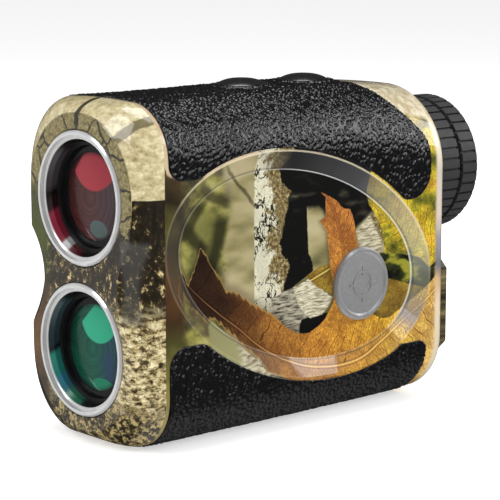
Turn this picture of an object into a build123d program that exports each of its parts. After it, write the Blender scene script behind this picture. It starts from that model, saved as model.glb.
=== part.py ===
"""Pocket laser rangefinder: monocular sight above, receiver lens below.

Frame: X across (right hand side is +X), Y along the optical axis (the objectives
look toward -Y, the eye sits at +Y), Z up.  Origin at the bottom centre of the
bounding box.  Millimetres.
"""

import os
from math import radians, tan

from build123d import *

# ---------------------------------------------------------------- housing
length_front = -52.65          # front plane of the lens rings
face_y = -52.15                # flat face of the front bezel
bezel_y = -46.15               # joint between bezel and body shell
shell_rear_y = 34.15           # joint between body shell and rear cover
half_width = 20.9
shell_bottom = 0.3
shell_top = 72.95
wall = 2.6
crown = 1.3
front_mid_y = -16.0
rear_mid_y = 13.0
rear_drop = 1.5                # how far the top line falls toward the rear

# y, bottom, top, top corner radius, lower corner radius
shell_stations = (
    (bezel_y, shell_bottom, shell_top, 11.8, 12.0),
    (front_mid_y, shell_bottom, shell_top, 12.9, 12.2),
    (rear_mid_y, shell_bottom, shell_top, 14.8, 12.8),
    (shell_rear_y, shell_bottom, shell_top - rear_drop, 18.0, 14.0),
)

# ---------------------------------------------------------------- side ovals
oval_y = -7.3
oval_z = 35.7
oval_tilt = -15.3
oval_rim = (39.5, 24.2)
oval_floor = (34.8, 20.1)
oval_depth = 1.6

# ---------------------------------------------------------------- grips
grip_proud = 0.35
grip_depth = 1.2
grip_gap = 0.6
grip_front_y = bezel_y + 0.95
grip_rear_y = 31.2              # rear edge of the upper grip on the flat side
grip_bend_z = 60.0             # above this height the edge slants forward
grip_top_rear_y = 18.6         # rear edge where it crosses the top
upper_lobe_front_z = 57.2
upper_lobe_rear_z = 47.0
lower_lobe_front_z = 22.8
lower_lobe_rear_z = 14.2
lower_grip_rear_y = 30.6

# ---------------------------------------------------------------- optics
upper_z = 52.4
lower_z = 20.3
ring_radius = 14.17
ring_clear = 11.7
opening_radius = 14.45
ring_depth = 3.5
barrel_radius = 13.4
barrel_bore = 11.6
seat_bore = 10.4
barrel_front = length_front + ring_depth
lens_radius = 11.5
retainer_back = -48.2
lens_front = -48.1
lens_back = -45.0

# ---------------------------------------------------------------- eyepiece
eye_z = 51.6
tube_radius = 12.2
tube_bore = 11.0
tube_front = 19.0
tube_rear = 49.5
running_fit = 0.08
band_start = 38.25
band_end = 46.25
cup_start = 47.25
length_rear = 52.65
grip_ring_radius = 15.75
cup_radius = 15.9
slot_count = 40
slot_width = 0.55
slot_depth = 0.55
pin_y = 42.2
diopter_travel = 1.2

# ---------------------------------------------------------------- buttons
button_ys = (-7.55, 10.95)
button_radius = 5.7
button_fit = 0.08
button_rise = 1.4
button_travel = 0.8
flange_radius = 6.4
flange_height = 0.6

# ---------------------------------------------------------------- battery bay
battery_z = 21.05
battery_radius = 7.75
battery_front = 9.4
battery_rear = 36.4
bay_bore = 8.0
bay_radius = 9.3
door_half = 12.4
door_low = 12.2
door_high = 31.3
door_inner_y = 37.85
door_outer_y = 40.3
door_pin_y = 39.0
bulge_half = 18.9
bulge_y = 39.7
bulge_low = 9.2
bulge_high = 32.4
bay_mouth_y = 36.9
knuckle_radius = 1.25
hinge_pin_radius = 0.6


def rounded_section(y, half, low, high, r_top, r_low, rise):
    """Closed cross-section of the housing: flat sides, crowned top, round corners."""
    with BuildSketch(Plane.XZ.offset(-y)) as section:
        with BuildLine():
            top = ThreePointArc((-half, high - rise), (0, high), (half, high - rise))
            Polyline(top @ 1, (half, low), (-half, low), top @ 0)
        make_face()
        fillet(section.vertices().group_by(Axis.Y)[-1], r_top)
        fillet(section.vertices().group_by(Axis.Y)[0], r_low)
    return section.sketch


def housing_section(station, grow):
    y, low, high, r_top, r_low = station
    return rounded_section(y, half_width + grow, low - grow, high + grow,
                           r_top + grow, r_low + grow, crown)


def housing_form(grow):
    """The outer form of the body shell, grown or shrunk evenly."""
    with BuildPart() as form:
        loft([housing_section(s, grow) for s in shell_stations])
    return form.part


def turned(points, z_axis):
    """Solid of revolution about a line parallel to Y; points are (y, radius)."""
    with BuildPart() as form:
        with BuildSketch(Plane.YZ):
            with BuildLine():
                Polyline([(y, z_axis + r) for y, r in points], close=True)
            make_face()
        revolve(axis=Axis((0, 0, z_axis), (0, 1, 0)))
    return form.part


def lens(z_axis, y_front, y_back, radius, sag_front, sag_back):
    """Glass element with domed faces; a negative sag makes a hollow face."""
    with BuildPart() as form:
        with BuildSketch(Plane.YZ):
            with BuildLine():
                ThreePointArc((y_front, z_axis + radius), (y_front - sag_front, z_axis),
                              (y_front, z_axis - radius))
                Line((y_front, z_axis - radius), (y_back, z_axis - radius))
                ThreePointArc((y_back, z_axis - radius), (y_back + sag_back, z_axis),
                              (y_back, z_axis + radius))
                Line((y_back, z_axis + radius), (y_front, z_axis + radius))
            make_face()
            with Locations((0, z_axis)):
                Rectangle(4 * abs(y_front), 2 * radius, align=(Align.CENTER, Align.MIN),
                          mode=Mode.INTERSECT)
        revolve(axis=Axis((0, 0, z_axis), (0, 1, 0)))
    return form.part


def block(x0, x1, y0, y1, z0, z1):
    """Rectangular block between opposite corners."""
    with BuildPart() as form:
        with Locations(((x0 + x1) / 2, (y0 + y1) / 2, (z0 + z1) / 2)):
            Box(x1 - x0, y1 - y0, z1 - z0)
    return form.part


def rod(start, end, radius):
    """Round bar between two points."""
    axis = Vector(*end) - Vector(*start)
    with BuildPart() as form:
        with BuildSketch(Plane(origin=start, z_dir=axis)):
            Circle(radius)
        extrude(amount=axis.length)
    return form.part


def oval(plane_x, radii, grow):
    """Tilted ellipse in a plane square to X."""
    with BuildSketch(Plane.YZ.offset(plane_x)) as face:
        with Locations((oval_y, oval_z)):
            Ellipse(radii[0] + grow, radii[1] + grow, rotation=oval_tilt)
    return face.sketch


def grip_outline(corners, rounds):
    """Side outline of a grip: a stepped block cut back by the oval, corners rounded."""
    with BuildSketch(Plane.YZ) as face:
        with BuildLine():
            Polyline(corners, close=True)
        make_face()
        with Locations((oval_y, oval_z)):
            Ellipse(oval_rim[0] + grip_gap, oval_rim[1] + grip_gap, rotation=oval_tilt,
                    mode=Mode.SUBTRACT)
        for y, z, r in rounds:
            fillet(face.vertices().sort_by_distance((y, z, 0))[0], r)
    return face.sketch


upper_grip_face = grip_outline(
    ((grip_front_y, 2 * shell_top), (grip_front_y, upper_lobe_front_z),
     (oval_y, upper_lobe_front_z), (oval_y, upper_lobe_rear_z),
     (grip_rear_y, upper_lobe_rear_z), (grip_rear_y, grip_bend_z),
     (grip_top_rear_y, shell_top + 0.45), (grip_top_rear_y, 2 * shell_top)),
    ((grip_front_y, upper_lobe_front_z, 3.6), (-37.0, upper_lobe_front_z, 3.6),
     (grip_rear_y, grip_bend_z, 8.0), (grip_rear_y, upper_lobe_rear_z, 6.5),
     (22.0, upper_lobe_rear_z, 3.0)))
lower_grip_face = grip_outline(
    ((grip_front_y, -shell_top), (grip_front_y, lower_lobe_front_z),
     (oval_y, lower_lobe_front_z), (oval_y, lower_lobe_rear_z),
     (lower_grip_rear_y, lower_lobe_rear_z), (lower_grip_rear_y, -shell_top)),
    ((grip_front_y, lower_lobe_front_z, 4.5), (-36.0, lower_lobe_front_z, 4.0),
     (lower_grip_rear_y, lower_lobe_rear_z, 3.0), (20.0, lower_lobe_rear_z, 2.0)))

skin = housing_form(0)
inner_space = housing_form(-wall)
grip_skin = housing_form(grip_proud)
grip_bed = housing_form(-grip_depth)


def grip_solid(face):
    """Rubber saddle between the pocket floor and its proud outer skin."""
    with BuildPart() as form:
        add(grip_skin)
        add(grip_bed, mode=Mode.SUBTRACT)
        extrude(face, amount=2 * half_width, both=True, mode=Mode.INTERSECT)
    return form.part


# ---------------------------------------------------------------- body shell
upper_pocket = grip_solid(upper_grip_face)
lower_pocket = grip_solid(lower_grip_face)
boss_spots = ((7.5, 1.7), (-7.5, 1.7))
boss_radius = 2.0
boss_low = 66.2

with BuildPart() as body_shell:
    add(skin)
    add(inner_space, mode=Mode.SUBTRACT)
    add(upper_pocket, mode=Mode.SUBTRACT)
    add(lower_pocket, mode=Mode.SUBTRACT)
    for side in (1, -1):
        add(loft([oval(side * (half_width + 0.2), oval_rim, 0.72),
                  oval(side * (half_width - oval_depth), oval_floor, 0)], mode=Mode.PRIVATE),
            mode=Mode.SUBTRACT)
    for y in button_ys:
        with Locations((0, y, shell_top)):
            Cylinder(button_radius + button_fit, 12, mode=Mode.SUBTRACT)
    for x, y in boss_spots:
        add(rod((x, y, boss_low), (x, y, shell_top - wall + 0.5), boss_radius))

# ---------------------------------------------------------------- grips
rim_inner = button_radius + 0.4
rim_outer = rim_inner + 0.8
rim_rise = 0.35

with BuildPart() as upper_grip:
    add(upper_pocket)
    for y in button_ys:
        with Locations((0, y, shell_top)):
            Cylinder(rim_outer, 2 * (grip_proud + rim_rise))
    add(grip_bed, mode=Mode.SUBTRACT)
    for y in button_ys:
        with Locations((0, y, shell_top)):
            Cylinder(rim_inner, 12, mode=Mode.SUBTRACT)

with BuildPart() as lower_grip:
    add(lower_pocket)
    add(block(-half_width - 1, half_width + 1, -60.0, 60.0, -2.0, 0.0), mode=Mode.SUBTRACT)

# ---------------------------------------------------------------- front bezel
face_half = 17.1
face_low = lower_z - 17.45
face_high = upper_z + 17.6
face_round = 16.9
profile_steps = (0.0, 0.35, 0.6, 0.82, 1.0)
linear_share = 0.35


def bezel_section(u):
    """Section of the bezel at a fraction u of its depth, narrowing to the face."""
    w = linear_share * u + (1 - linear_share) * u ** 3
    start = (half_width, shell_bottom, shell_top, 11.8, 12.0, crown)
    end = (face_half, face_low, face_high, face_round, face_round, 0.05)
    half, low, high, r_top, r_low, rise = [a + w * (b - a) for a, b in zip(start, end)]
    return rounded_section(bezel_y + u * (face_y - bezel_y), half, low, high, r_top, r_low, rise)


scallop_radius = 23.0
scallop_z = 34.2
scallop_x = 12.7               # half width of the waist at the face
scallop_run = half_width - scallop_x
bezel_depth = bezel_y - face_y
lip_depth = 3.0

with BuildPart() as front_bezel:
    loft([bezel_section(u) for u in profile_steps])
    lip = rounded_section(bezel_y, half_width - wall - 0.2, shell_bottom + wall + 0.2,
                          shell_top - wall - 0.2, 9.4, 9.6, crown)
    extrude(lip, amount=lip_depth, dir=(0, 1, 0))
    hollow = rounded_section(bezel_y + lip_depth, half_width - wall - 1.6,
                             shell_bottom + wall + 1.6, shell_top - wall - 1.6, 7.6, 7.8, crown)
    extrude(hollow, amount=lip_depth, dir=(0, -1, 0), mode=Mode.SUBTRACT)
    for side in (1, -1):
        run = Vector(side * scallop_run, bezel_depth, 0).normalized()
        out = Vector(side * bezel_depth, -scallop_run, 0).normalized()
        foot = Vector(side * scallop_x, face_y, scallop_z) + out * scallop_radius
        add(rod(tuple(foot - run * 20), tuple(foot + run * 40), scallop_radius),
            mode=Mode.SUBTRACT)
    for z in (upper_z, lower_z):
        add(rod((0, face_y - 1, z), (0, barrel_front, z), opening_radius), mode=Mode.SUBTRACT)
        add(rod((0, barrel_front - 1, z), (0, bezel_y + lip_depth, z), barrel_radius),
            mode=Mode.SUBTRACT)

# ---------------------------------------------------------------- objectives
ring_profile = (
    (length_front + 0.35, ring_radius), (barrel_front, ring_radius), (barrel_front, ring_clear),
    (length_front + 2.0, ring_clear), (length_front + 0.9, 12.35), (length_front + 0.9, 12.9),
    (length_front, 13.15), (length_front, 13.8))
retainer_profile = (
    (barrel_front + 0.05, barrel_bore), (retainer_back, barrel_bore), (retainer_back, 10.9),
    (barrel_front + 0.05, 10.9))
upper_barrel_profile = (
    (barrel_front, barrel_radius), (-30.0, barrel_radius), (-27.0, 11.0), (-14.0, 11.0),
    (-14.0, 9.6), (-26.5, 9.6), (-28.0, seat_bore), (lens_back, seat_bore),
    (lens_back, barrel_bore), (barrel_front, barrel_bore))
lower_barrel_profile = (
    (barrel_front, barrel_radius), (-30.0, barrel_radius), (-12.0, 7.2), (-12.0, 5.6),
    (-29.0, seat_bore), (lens_back, seat_bore), (lens_back, barrel_bore),
    (barrel_front, barrel_bore))

with BuildPart() as upper_lens_ring:
    add(turned(ring_profile, upper_z))
with BuildPart() as lower_lens_ring:
    add(turned(ring_profile, lower_z))
with BuildPart() as upper_lens_retainer:
    add(turned(retainer_profile, upper_z))
with BuildPart() as lower_lens_retainer:
    add(turned(retainer_profile, lower_z))
with BuildPart() as upper_barrel:
    add(turned(upper_barrel_profile, upper_z))
with BuildPart() as lower_barrel:
    add(turned(lower_barrel_profile, lower_z))
with BuildPart() as upper_objective:
    add(lens(upper_z, lens_front, lens_back, lens_radius, 0.8, -0.4))
with BuildPart() as lower_objective:
    add(lens(lower_z, lens_front, lens_back, lens_radius, 0.8, -0.4))
with BuildPart() as focusing_lens:
    add(lens(upper_z, -20.0, -18.0, 9.55, -0.5, -0.4))

# ---------------------------------------------------------------- receiver
with BuildPart() as receiver_housing:
    add(turned(((-12.0, 8.4), (-3.0, 8.4), (-3.0, 4.7), (-7.0, 4.7), (-7.0, 5.6),
                (-12.0, 5.6)), lower_z))
with BuildPart() as receiver_filter:
    add(turned(((-9.0, 5.6), (-7.9, 5.6), (-7.9, 0), (-9.0, 0)), lower_z))
with BuildPart() as photodiode:
    add(turned(((-7.0, 4.2), (-3.4, 4.2), (-3.4, 4.65), (-2.6, 4.65), (-2.6, 0),
                (-7.0, 0)), lower_z))
with BuildPart() as receiver_board:
    add(block(-9.5, 9.5, -2.6, -1.4, lower_z - 9.5, lower_z + 9.5))
with BuildPart() as receiver_shield:
    add(block(-7.5, 7.5, -1.4, 1.4, lower_z - 7.5, lower_z + 7.5))
    add(block(-7.1, 7.1, -1.4, 1.0, lower_z - 7.1, lower_z + 7.1), mode=Mode.SUBTRACT)

# ---------------------------------------------------------------- chassis and prisms
deck_low = 35.6
deck_high = 37.2
with BuildPart() as chassis:
    add(block(-13.2, 13.2, -38.0, 26.0, deck_low, deck_high))
    for y in (-36.0, -22.0):
        add(block(-9.0, 9.0, y - 2.0, y + 2.0, lower_z + 9.0, upper_z - 9.0))
    for y in (-30.0, 20.0):
        add(block(-15.0, -9.5, y - 2.5, y + 2.5, 34.2, 38.6))
        add(rod((-15.0, y, 36.4), (-10.5, y, 36.4), 1.0), mode=Mode.SUBTRACT)
    add(turned(upper_barrel_profile[:4] + ((-14.0, 0), (barrel_front, 0)), upper_z),
        mode=Mode.SUBTRACT)
    add(turned(lower_barrel_profile[:3] + ((-12.0, 0), (barrel_front, 0)), lower_z),
        mode=Mode.SUBTRACT)

prism_half = 8.0
prism_top = 63.5
gap_line = 57.9                # height of the slanted air gap where it crosses Y = 0
with BuildPart() as half_penta_prism:
    with BuildSketch(Plane.YZ):
        with BuildLine():
            Polyline((-12.0, 58.9), (-12.0, gap_line - 12.0), (prism_top - gap_line, prism_top),
                     ((prism_top - 58.9) / tan(radians(22.5)) - 12.0, prism_top), close=True)
        make_face()
    extrude(amount=prism_half, both=True)
with BuildPart() as roof_prism:
    with BuildSketch(Plane.YZ):
        with BuildLine():
            Polyline((9.0, prism_top), (9.0, 42.3), (-8.0, gap_line - 8.6),
                     (prism_top - gap_line + 0.6, prism_top), close=True)
        make_face()
    extrude(amount=prism_half, both=True)
with BuildPart() as prism_frame:
    add(block(-9.4, 9.4, -13.0, 11.0, deck_high, prism_top))
    add(block(-prism_half, prism_half, -13.0, 11.0, deck_high + 1.4, prism_top),
        mode=Mode.SUBTRACT)
    add(rod((prism_half - 1, -3.0, 54.0), (9.4, -3.0, 54.0), 2.4), mode=Mode.SUBTRACT)
    add(block(-prism_half, prism_half, 7.6, 9.0, deck_high + 1.4, 42.3))
with BuildPart() as prism_clip:
    add(block(-9.4, 9.4, -2.0, 8.0, prism_top, prism_top + 0.7))
with BuildPart() as laser_emitter:
    add(rod((9.4, -3.0, 54.0), (13.6, -3.0, 54.0), 3.4))
    add(rod((8.2, -3.0, 54.0), (9.4, -3.0, 54.0), 2.4))

# ---------------------------------------------------------------- reticle display
with BuildPart() as display_holder:
    add(block(-11.0, 11.0, 13.0, 17.0, deck_high, 62.8))
    add(block(-8.6, 8.6, 14.4, 17.0, eye_z - 8.6, eye_z + 8.6), mode=Mode.SUBTRACT)
    add(block(-7.0, 7.0, 13.0, 14.4, eye_z - 7.0, eye_z + 7.0), mode=Mode.SUBTRACT)
with BuildPart() as reticle_display:
    add(block(-8.6, 8.6, 14.4, 15.9, eye_z - 8.6, eye_z + 8.6))

# ---------------------------------------------------------------- boards
board_x = -15.0
board_thick = 1.4
with BuildPart() as main_board:
    add(block(board_x - board_thick, board_x, -36.0, 24.0, 12.0, 57.0))
    for y in (-30.0, 20.0):
        add(rod((board_x - 2, y, 36.4), (board_x + 1, y, 36.4), 1.0), mode=Mode.SUBTRACT)
with BuildPart() as processor:
    add(block(board_x, board_x + 1.2, -14.0, -4.0, 31.4, 41.4))
with BuildPart() as storage_capacitors:
    for y in (-2.0, 7.5):
        add(rod((-11.6, y, 33.0), (-11.6, y + 8.0, 33.0), 2.55))
with BuildPart() as timing_chips:
    for y, z in ((-28.0, 46.0), (-12.0, 48.0), (2.0, 27.0), (12.0, 47.0)):
        add(block(board_x - board_thick - 0.9, board_x - board_thick, y, y + 6.0, z, z + 4.5))
with BuildPart() as board_screws:
    for y in (-30.0, 20.0):
        add(rod((board_x - board_thick, y, 36.4), (-10.5, y, 36.4), 1.0))
        add(rod((board_x - board_thick - 0.8, y, 36.4), (board_x - board_thick, y, 36.4), 1.9))
with BuildPart() as button_board:
    add(block(-9.5, 9.5, -14.5, 17.5, boss_low - 1.0, boss_low))
    for x, y in boss_spots:
        add(rod((x, y, boss_low - 1.5), (x, y, boss_low + 0.5), 0.8), mode=Mode.SUBTRACT)
with BuildPart() as button_board_screws:
    for x, y in boss_spots:
        add(rod((x, y, boss_low - 1.7), (x, y, boss_low - 1.0), 1.5))
        add(rod((x, y, boss_low - 1.0), (x, y, boss_low), 0.8))
switch_top = boss_low + 1.6
plunger_top = 68.45
with BuildPart() as fire_switch:
    add(block(-3, 3, button_ys[1] - 3, button_ys[1] + 3, boss_low, switch_top))
    add(rod((0, button_ys[1], switch_top), (0, button_ys[1], plunger_top), 1.6))
with BuildPart() as mode_switch:
    add(block(-3, 3, button_ys[0] - 3, button_ys[0] + 3, boss_low, switch_top))
    add(rod((0, button_ys[0], switch_top), (0, button_ys[0], plunger_top), 1.6))
with BuildPart() as ribbon_cable:
    with BuildSketch(Plane.XZ.offset(2.0)):
        with BuildLine():
            Polyline((-9.5, 65.5), (-9.5, 65.9), (-12.8, 63.5), (-14.9, 57.2), (-15.0, 54.0),
                     (-15.0, 52.0), (-14.7, 52.0), (-14.7, 54.0), (-14.5, 57.0), (-12.4, 63.2),
                     close=True)
        make_face()
    extrude(amount=-8.0)

# ---------------------------------------------------------------- buttons
button_top = shell_top + grip_proud + button_rise
stem_low = plunger_top + button_travel + 0.1


def button(y, mark_sizes):
    """Domed push button with a captive flange and low relief bars on its crown."""
    dome_edge = shell_top + grip_proud + 0.2
    with BuildPart() as form:
        with BuildSketch(Plane.XZ):
            with BuildLine():
                Polyline((0, button_top), (0, stem_low), (flange_radius, stem_low),
                         (flange_radius, stem_low + flange_height),
                         (button_radius, stem_low + flange_height),
                         (button_radius, dome_edge))
                ThreePointArc((button_radius, dome_edge),
                              (button_radius * 0.72, button_top - 0.42), (0, button_top))
            make_face()
        revolve(axis=Axis.Z)
        for length, breadth in mark_sizes:
            with Locations((0, 0, button_top - 0.15)):
                Box(length, breadth, 0.4)
    return form.part.moved(Location((0, y, 0)))


with BuildPart() as fire_button:
    add(button(button_ys[1], ((3.2, 0.55), (0.55, 3.2))))
with BuildPart() as mode_button:
    add(button(button_ys[0], ((3.2, 0.55),)))

# ---------------------------------------------------------------- eyepiece
with BuildPart() as eyepiece_tube:
    add(turned(((tube_front, tube_radius), (tube_rear, tube_radius), (tube_rear, tube_bore),
                (tube_front, tube_bore)), eye_z))
    add(turned(((30.9, 14.6), (33.0, 14.6), (33.0, tube_radius - 0.4),
                (30.9, tube_radius - 0.4)), eye_z))
    for side in (1, -1):
        add(block(min(side * 9, side * 13), max(side * 9, side * 13),
                  pin_y - diopter_travel - 0.95, pin_y + diopter_travel + 0.95,
                  eye_z - 0.95, eye_z + 0.95), mode=Mode.SUBTRACT)


def ribbed(y0, y1, radius, bore, phase):
    """Ring whose rim is cut by narrow, evenly spaced slots."""
    with BuildPart() as form:
        with BuildSketch(Plane.XZ.offset(-y0)):
            with Locations((0, eye_z)):
                Circle(radius)
                with PolarLocations(radius, slot_count, start_angle=phase):
                    Rectangle(2 * slot_depth, slot_width, mode=Mode.SUBTRACT)
                Circle(bore, mode=Mode.SUBTRACT)
        extrude(amount=-(y1 - y0))
    return form.part


ring_bore = tube_radius + running_fit
sleeve_radius = 14.4
with BuildPart() as diopter_ring:
    add(ribbed(band_start + 0.7, band_end, grip_ring_radius, ring_bore, 0))
    add(turned(((band_start, ring_bore), (band_start, grip_ring_radius - 0.9),
                (band_start + 0.7, grip_ring_radius - 0.2), (band_start + 0.7, ring_bore)),
               eye_z))
    add(turned(((band_end, sleeve_radius), (50.6, sleeve_radius), (50.6, ring_bore),
                (band_end, ring_bore)), eye_z))
    add(turned(((pin_y - 2.4, ring_bore - 0.2), (pin_y - 2.4, 13.6), (pin_y + 2.4, 13.6),
                (pin_y + 2.4, ring_bore - 0.2)), eye_z), mode=Mode.SUBTRACT)
with BuildPart() as eyecup:
    add(ribbed(cup_start, length_rear - 0.6, cup_radius, sleeve_radius, 180 / slot_count))
    add(turned(((50.6, sleeve_radius), (length_rear - 0.6, sleeve_radius + 0.4),
                (length_rear - 0.6, cup_radius - 0.1), (length_rear, cup_radius - 0.8),
                (length_rear, 12.6), (51.4, 10.8), (50.6, 10.8)), eye_z))
with BuildPart() as eyepiece_seal:
    add(turned(((34.6, tube_radius), (34.6, 13.2), (36.0, 13.2), (36.0, tube_radius)), eye_z))

cell_radius = tube_bore - running_fit
with BuildPart() as ocular_cell:
    add(turned(((24.0, cell_radius), (46.6, cell_radius), (46.6, 9.9), (41.2, 9.9),
                (41.2, 8.8), (29.6, 8.8), (29.6, 9.6), (24.0, 9.6)), eye_z))
    for side in (1, -1):
        add(rod((side * 9.5, pin_y, eye_z), (side * 11.5, pin_y, eye_z), 0.85),
            mode=Mode.SUBTRACT)
with BuildPart() as cam_pins:
    for side in (1, -1):
        add(rod((side * 10.0, pin_y, eye_z), (side * 13.2, pin_y, eye_z), 0.85))
with BuildPart() as eye_lens:
    add(lens(eye_z, 41.9, 44.6, 9.9, 0.6, 0.9))
with BuildPart() as field_lens:
    add(lens(eye_z, 26.0, 28.6, 9.6, 0.9, 0.6))
with BuildPart() as ocular_retainer:
    add(turned(((44.9, 9.9), (46.4, 9.9), (46.4, 8.9), (44.9, 9.3)), eye_z))

# ---------------------------------------------------------------- rear cover
rear_station = shell_stations[-1]
dome_steps = ((0.0, 0.0), (0.9, -0.25), (1.7, -0.9), (2.15, -2.0))
cover_low_y = shell_rear_y - 2.6
screw_spots = ((16.6, 37.6), (-16.6, 37.6), (8.5, 5.2), (-8.5, 5.2))
screw_head_y = 35.2
screw_head_radius = 1.7
screw_radius = 0.9

with BuildPart() as bulge_form:
    add(block(-bulge_half, bulge_half, 34.4, bulge_y, bulge_low, bulge_high))
    chamfer(bulge_form.edges().filter_by(Axis.Y), 3.0)
    chamfer(bulge_form.faces().sort_by(Axis.Y)[-1].edges(), 0.7)
    add(rod((0, 33.0, battery_z), (0, 45.0, battery_z), bay_radius), mode=Mode.SUBTRACT)
bulge_block = bulge_form.part

with BuildPart() as rear_cover:
    loft([housing_section((shell_rear_y + d,) + rear_station[1:], g) for d, g in dome_steps])
    tongue = housing_section((cover_low_y,) + rear_station[1:], -wall - 0.35)
    extrude(tongue, amount=shell_rear_y - cover_low_y, dir=(0, 1, 0))
    pocket = housing_section((cover_low_y,) + rear_station[1:], -wall - 1.7)
    extrude(pocket, amount=34.4 - cover_low_y, dir=(0, 1, 0), mode=Mode.SUBTRACT)
    add(rod((0, 34.4, eye_z), (0, 37.7, eye_z), 16.0))
    add(rod((0, 30.0, eye_z), (0, 40.0, eye_z), tube_radius), mode=Mode.SUBTRACT)
    add(rod((0, 34.0, eye_z), (0, 36.0, eye_z), 13.2), mode=Mode.SUBTRACT)
    add(bulge_block)
    add(block(-door_half - 0.25, door_half + 0.25, door_inner_y - 0.4, 45.0, door_low - 1.5,
              door_low + 3.0), mode=Mode.SUBTRACT)
    add(block(-door_half - 0.25, door_half + 0.25, door_inner_y - 0.1, 45.0, door_low,
              door_high + 0.25), mode=Mode.SUBTRACT)
    add(rod((0, 30.0, battery_z), (0, 45.0, battery_z), bay_radius), mode=Mode.SUBTRACT)
    add(rod((-15.0, door_pin_y, door_low), (15.0, door_pin_y, door_low), hinge_pin_radius),
        mode=Mode.SUBTRACT)
    for x, z in screw_spots:
        add(rod((x, screw_head_y, z), (x, 38.0, z), screw_head_radius), mode=Mode.SUBTRACT)
        add(rod((x, 33.0, z), (x, 38.0, z), screw_radius), mode=Mode.SUBTRACT)

# ---------------------------------------------------------------- battery bay
with BuildPart() as battery_tube:
    add(turned(((battery_front - 2.0, bay_radius), (bay_mouth_y, bay_radius),
                (bay_mouth_y, bay_bore), (battery_front - 0.5, bay_bore),
                (battery_front - 0.5, 0), (battery_front - 2.0, 0)), battery_z))
with BuildPart() as battery_contact:
    add(turned(((battery_front - 0.5, 5.0), (battery_front - 0.1, 5.0),
                (battery_front - 0.1, 0), (battery_front - 0.5, 0)), battery_z))
with BuildPart() as battery:
    add(turned(((battery_front, 3.2), (battery_front + 0.7, 3.2),
                (battery_front + 0.7, battery_radius), (battery_rear, battery_radius),
                (battery_rear, 0), (battery_front, 0)), battery_z))
with BuildPart() as battery_door:
    add(block(-door_half, door_half, door_inner_y, door_outer_y, door_low, door_high))
    chamfer(battery_door.faces().sort_by(Axis.Y)[-1].edges().filter_by(Axis.Z), 1.4)
    chamfer(battery_door.faces().sort_by(Axis.Y)[-1].edges().sort_by(Axis.Z)[-1], 1.4)
    add(rod((-door_half, door_pin_y, door_low), (door_half, door_pin_y, door_low),
            knuckle_radius))
    add(rod((-14.0, door_pin_y, door_low), (14.0, door_pin_y, door_low),
            hinge_pin_radius + 0.06), mode=Mode.SUBTRACT)
with BuildPart() as door_contact:
    add(turned(((battery_rear + 0.3, 2.2), (door_inner_y, 5.4), (door_inner_y, 0),
                (battery_rear + 0.3, 0)), battery_z))
with BuildPart() as door_pin:
    add(rod((-15.0, door_pin_y, door_low), (15.0, door_pin_y, door_low), hinge_pin_radius))

# ---------------------------------------------------------------- badges
badge_y = 10.55
badge_z = 29.4
badge_radius = 8.16
badge_floor = half_width - oval_depth
dome_edge = 6.7
dome_foot = 0.7
dome_top = 1.04
mark_low = 0.5
mark_high = 0.66
mark_radius = 3.0


def badge(side):
    """Round domed badge with a raised bevelled rim, seated on the oval floor."""
    dome_curve = (dome_edge ** 2 + (dome_top - dome_foot) ** 2) / (2 * (dome_top - dome_foot))
    half_way = dome_top - dome_curve + (dome_curve ** 2 - (dome_edge / 2) ** 2) ** 0.5
    with BuildPart() as form:
        with BuildSketch(Plane.XZ):
            with BuildLine():
                Polyline((0, 0), (badge_radius, 0), (badge_radius, 0.55), (7.75, 1.05),
                         (7.1, 1.05), (dome_edge, dome_foot))
                ThreePointArc((dome_edge, dome_foot), (dome_edge / 2, half_way), (0, dome_top))
                Line((0, dome_top), (0, 0))
            make_face()
        revolve(axis=Axis.Z)
        with Locations((0, 0, mark_low)):
            Cylinder(mark_radius, mark_high, align=(Align.CENTER, Align.CENTER, Align.MIN))
            Cylinder(mark_radius - 0.5, mark_high, align=(Align.CENTER, Align.CENTER, Align.MIN),
                     mode=Mode.SUBTRACT)
            Cylinder(mark_radius - 0.5, dome_top - 0.1 - mark_low,
                     align=(Align.CENTER, Align.CENTER, Align.MIN))
            with PolarLocations(mark_radius, 4):
                Box(2.0, 0.5, mark_high, align=(Align.CENTER, Align.CENTER, Align.MIN))
    turn = Location((side * badge_floor, badge_y, badge_z), (0, side * 90, 0))
    return form.part.moved(turn)


with BuildPart() as badge_right:
    add(badge(1))
with BuildPart() as badge_left:
    add(badge(-1))

# ---------------------------------------------------------------- screws
with BuildPart() as rear_cover_screws:
    for x, z in screw_spots:
        add(rod((x, screw_head_y, z), (x, screw_head_y + 1.0, z), screw_head_radius))
        add(rod((x, 34.4, z), (x, screw_head_y, z), screw_radius))
        add(block(x - 1.1, x + 1.1, screw_head_y + 0.6, 38.0, z - 0.2, z + 0.2),
            mode=Mode.SUBTRACT)
        add(block(x - 0.2, x + 0.2, screw_head_y + 0.6, 38.0, z - 1.1, z + 1.1),
            mode=Mode.SUBTRACT)

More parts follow.
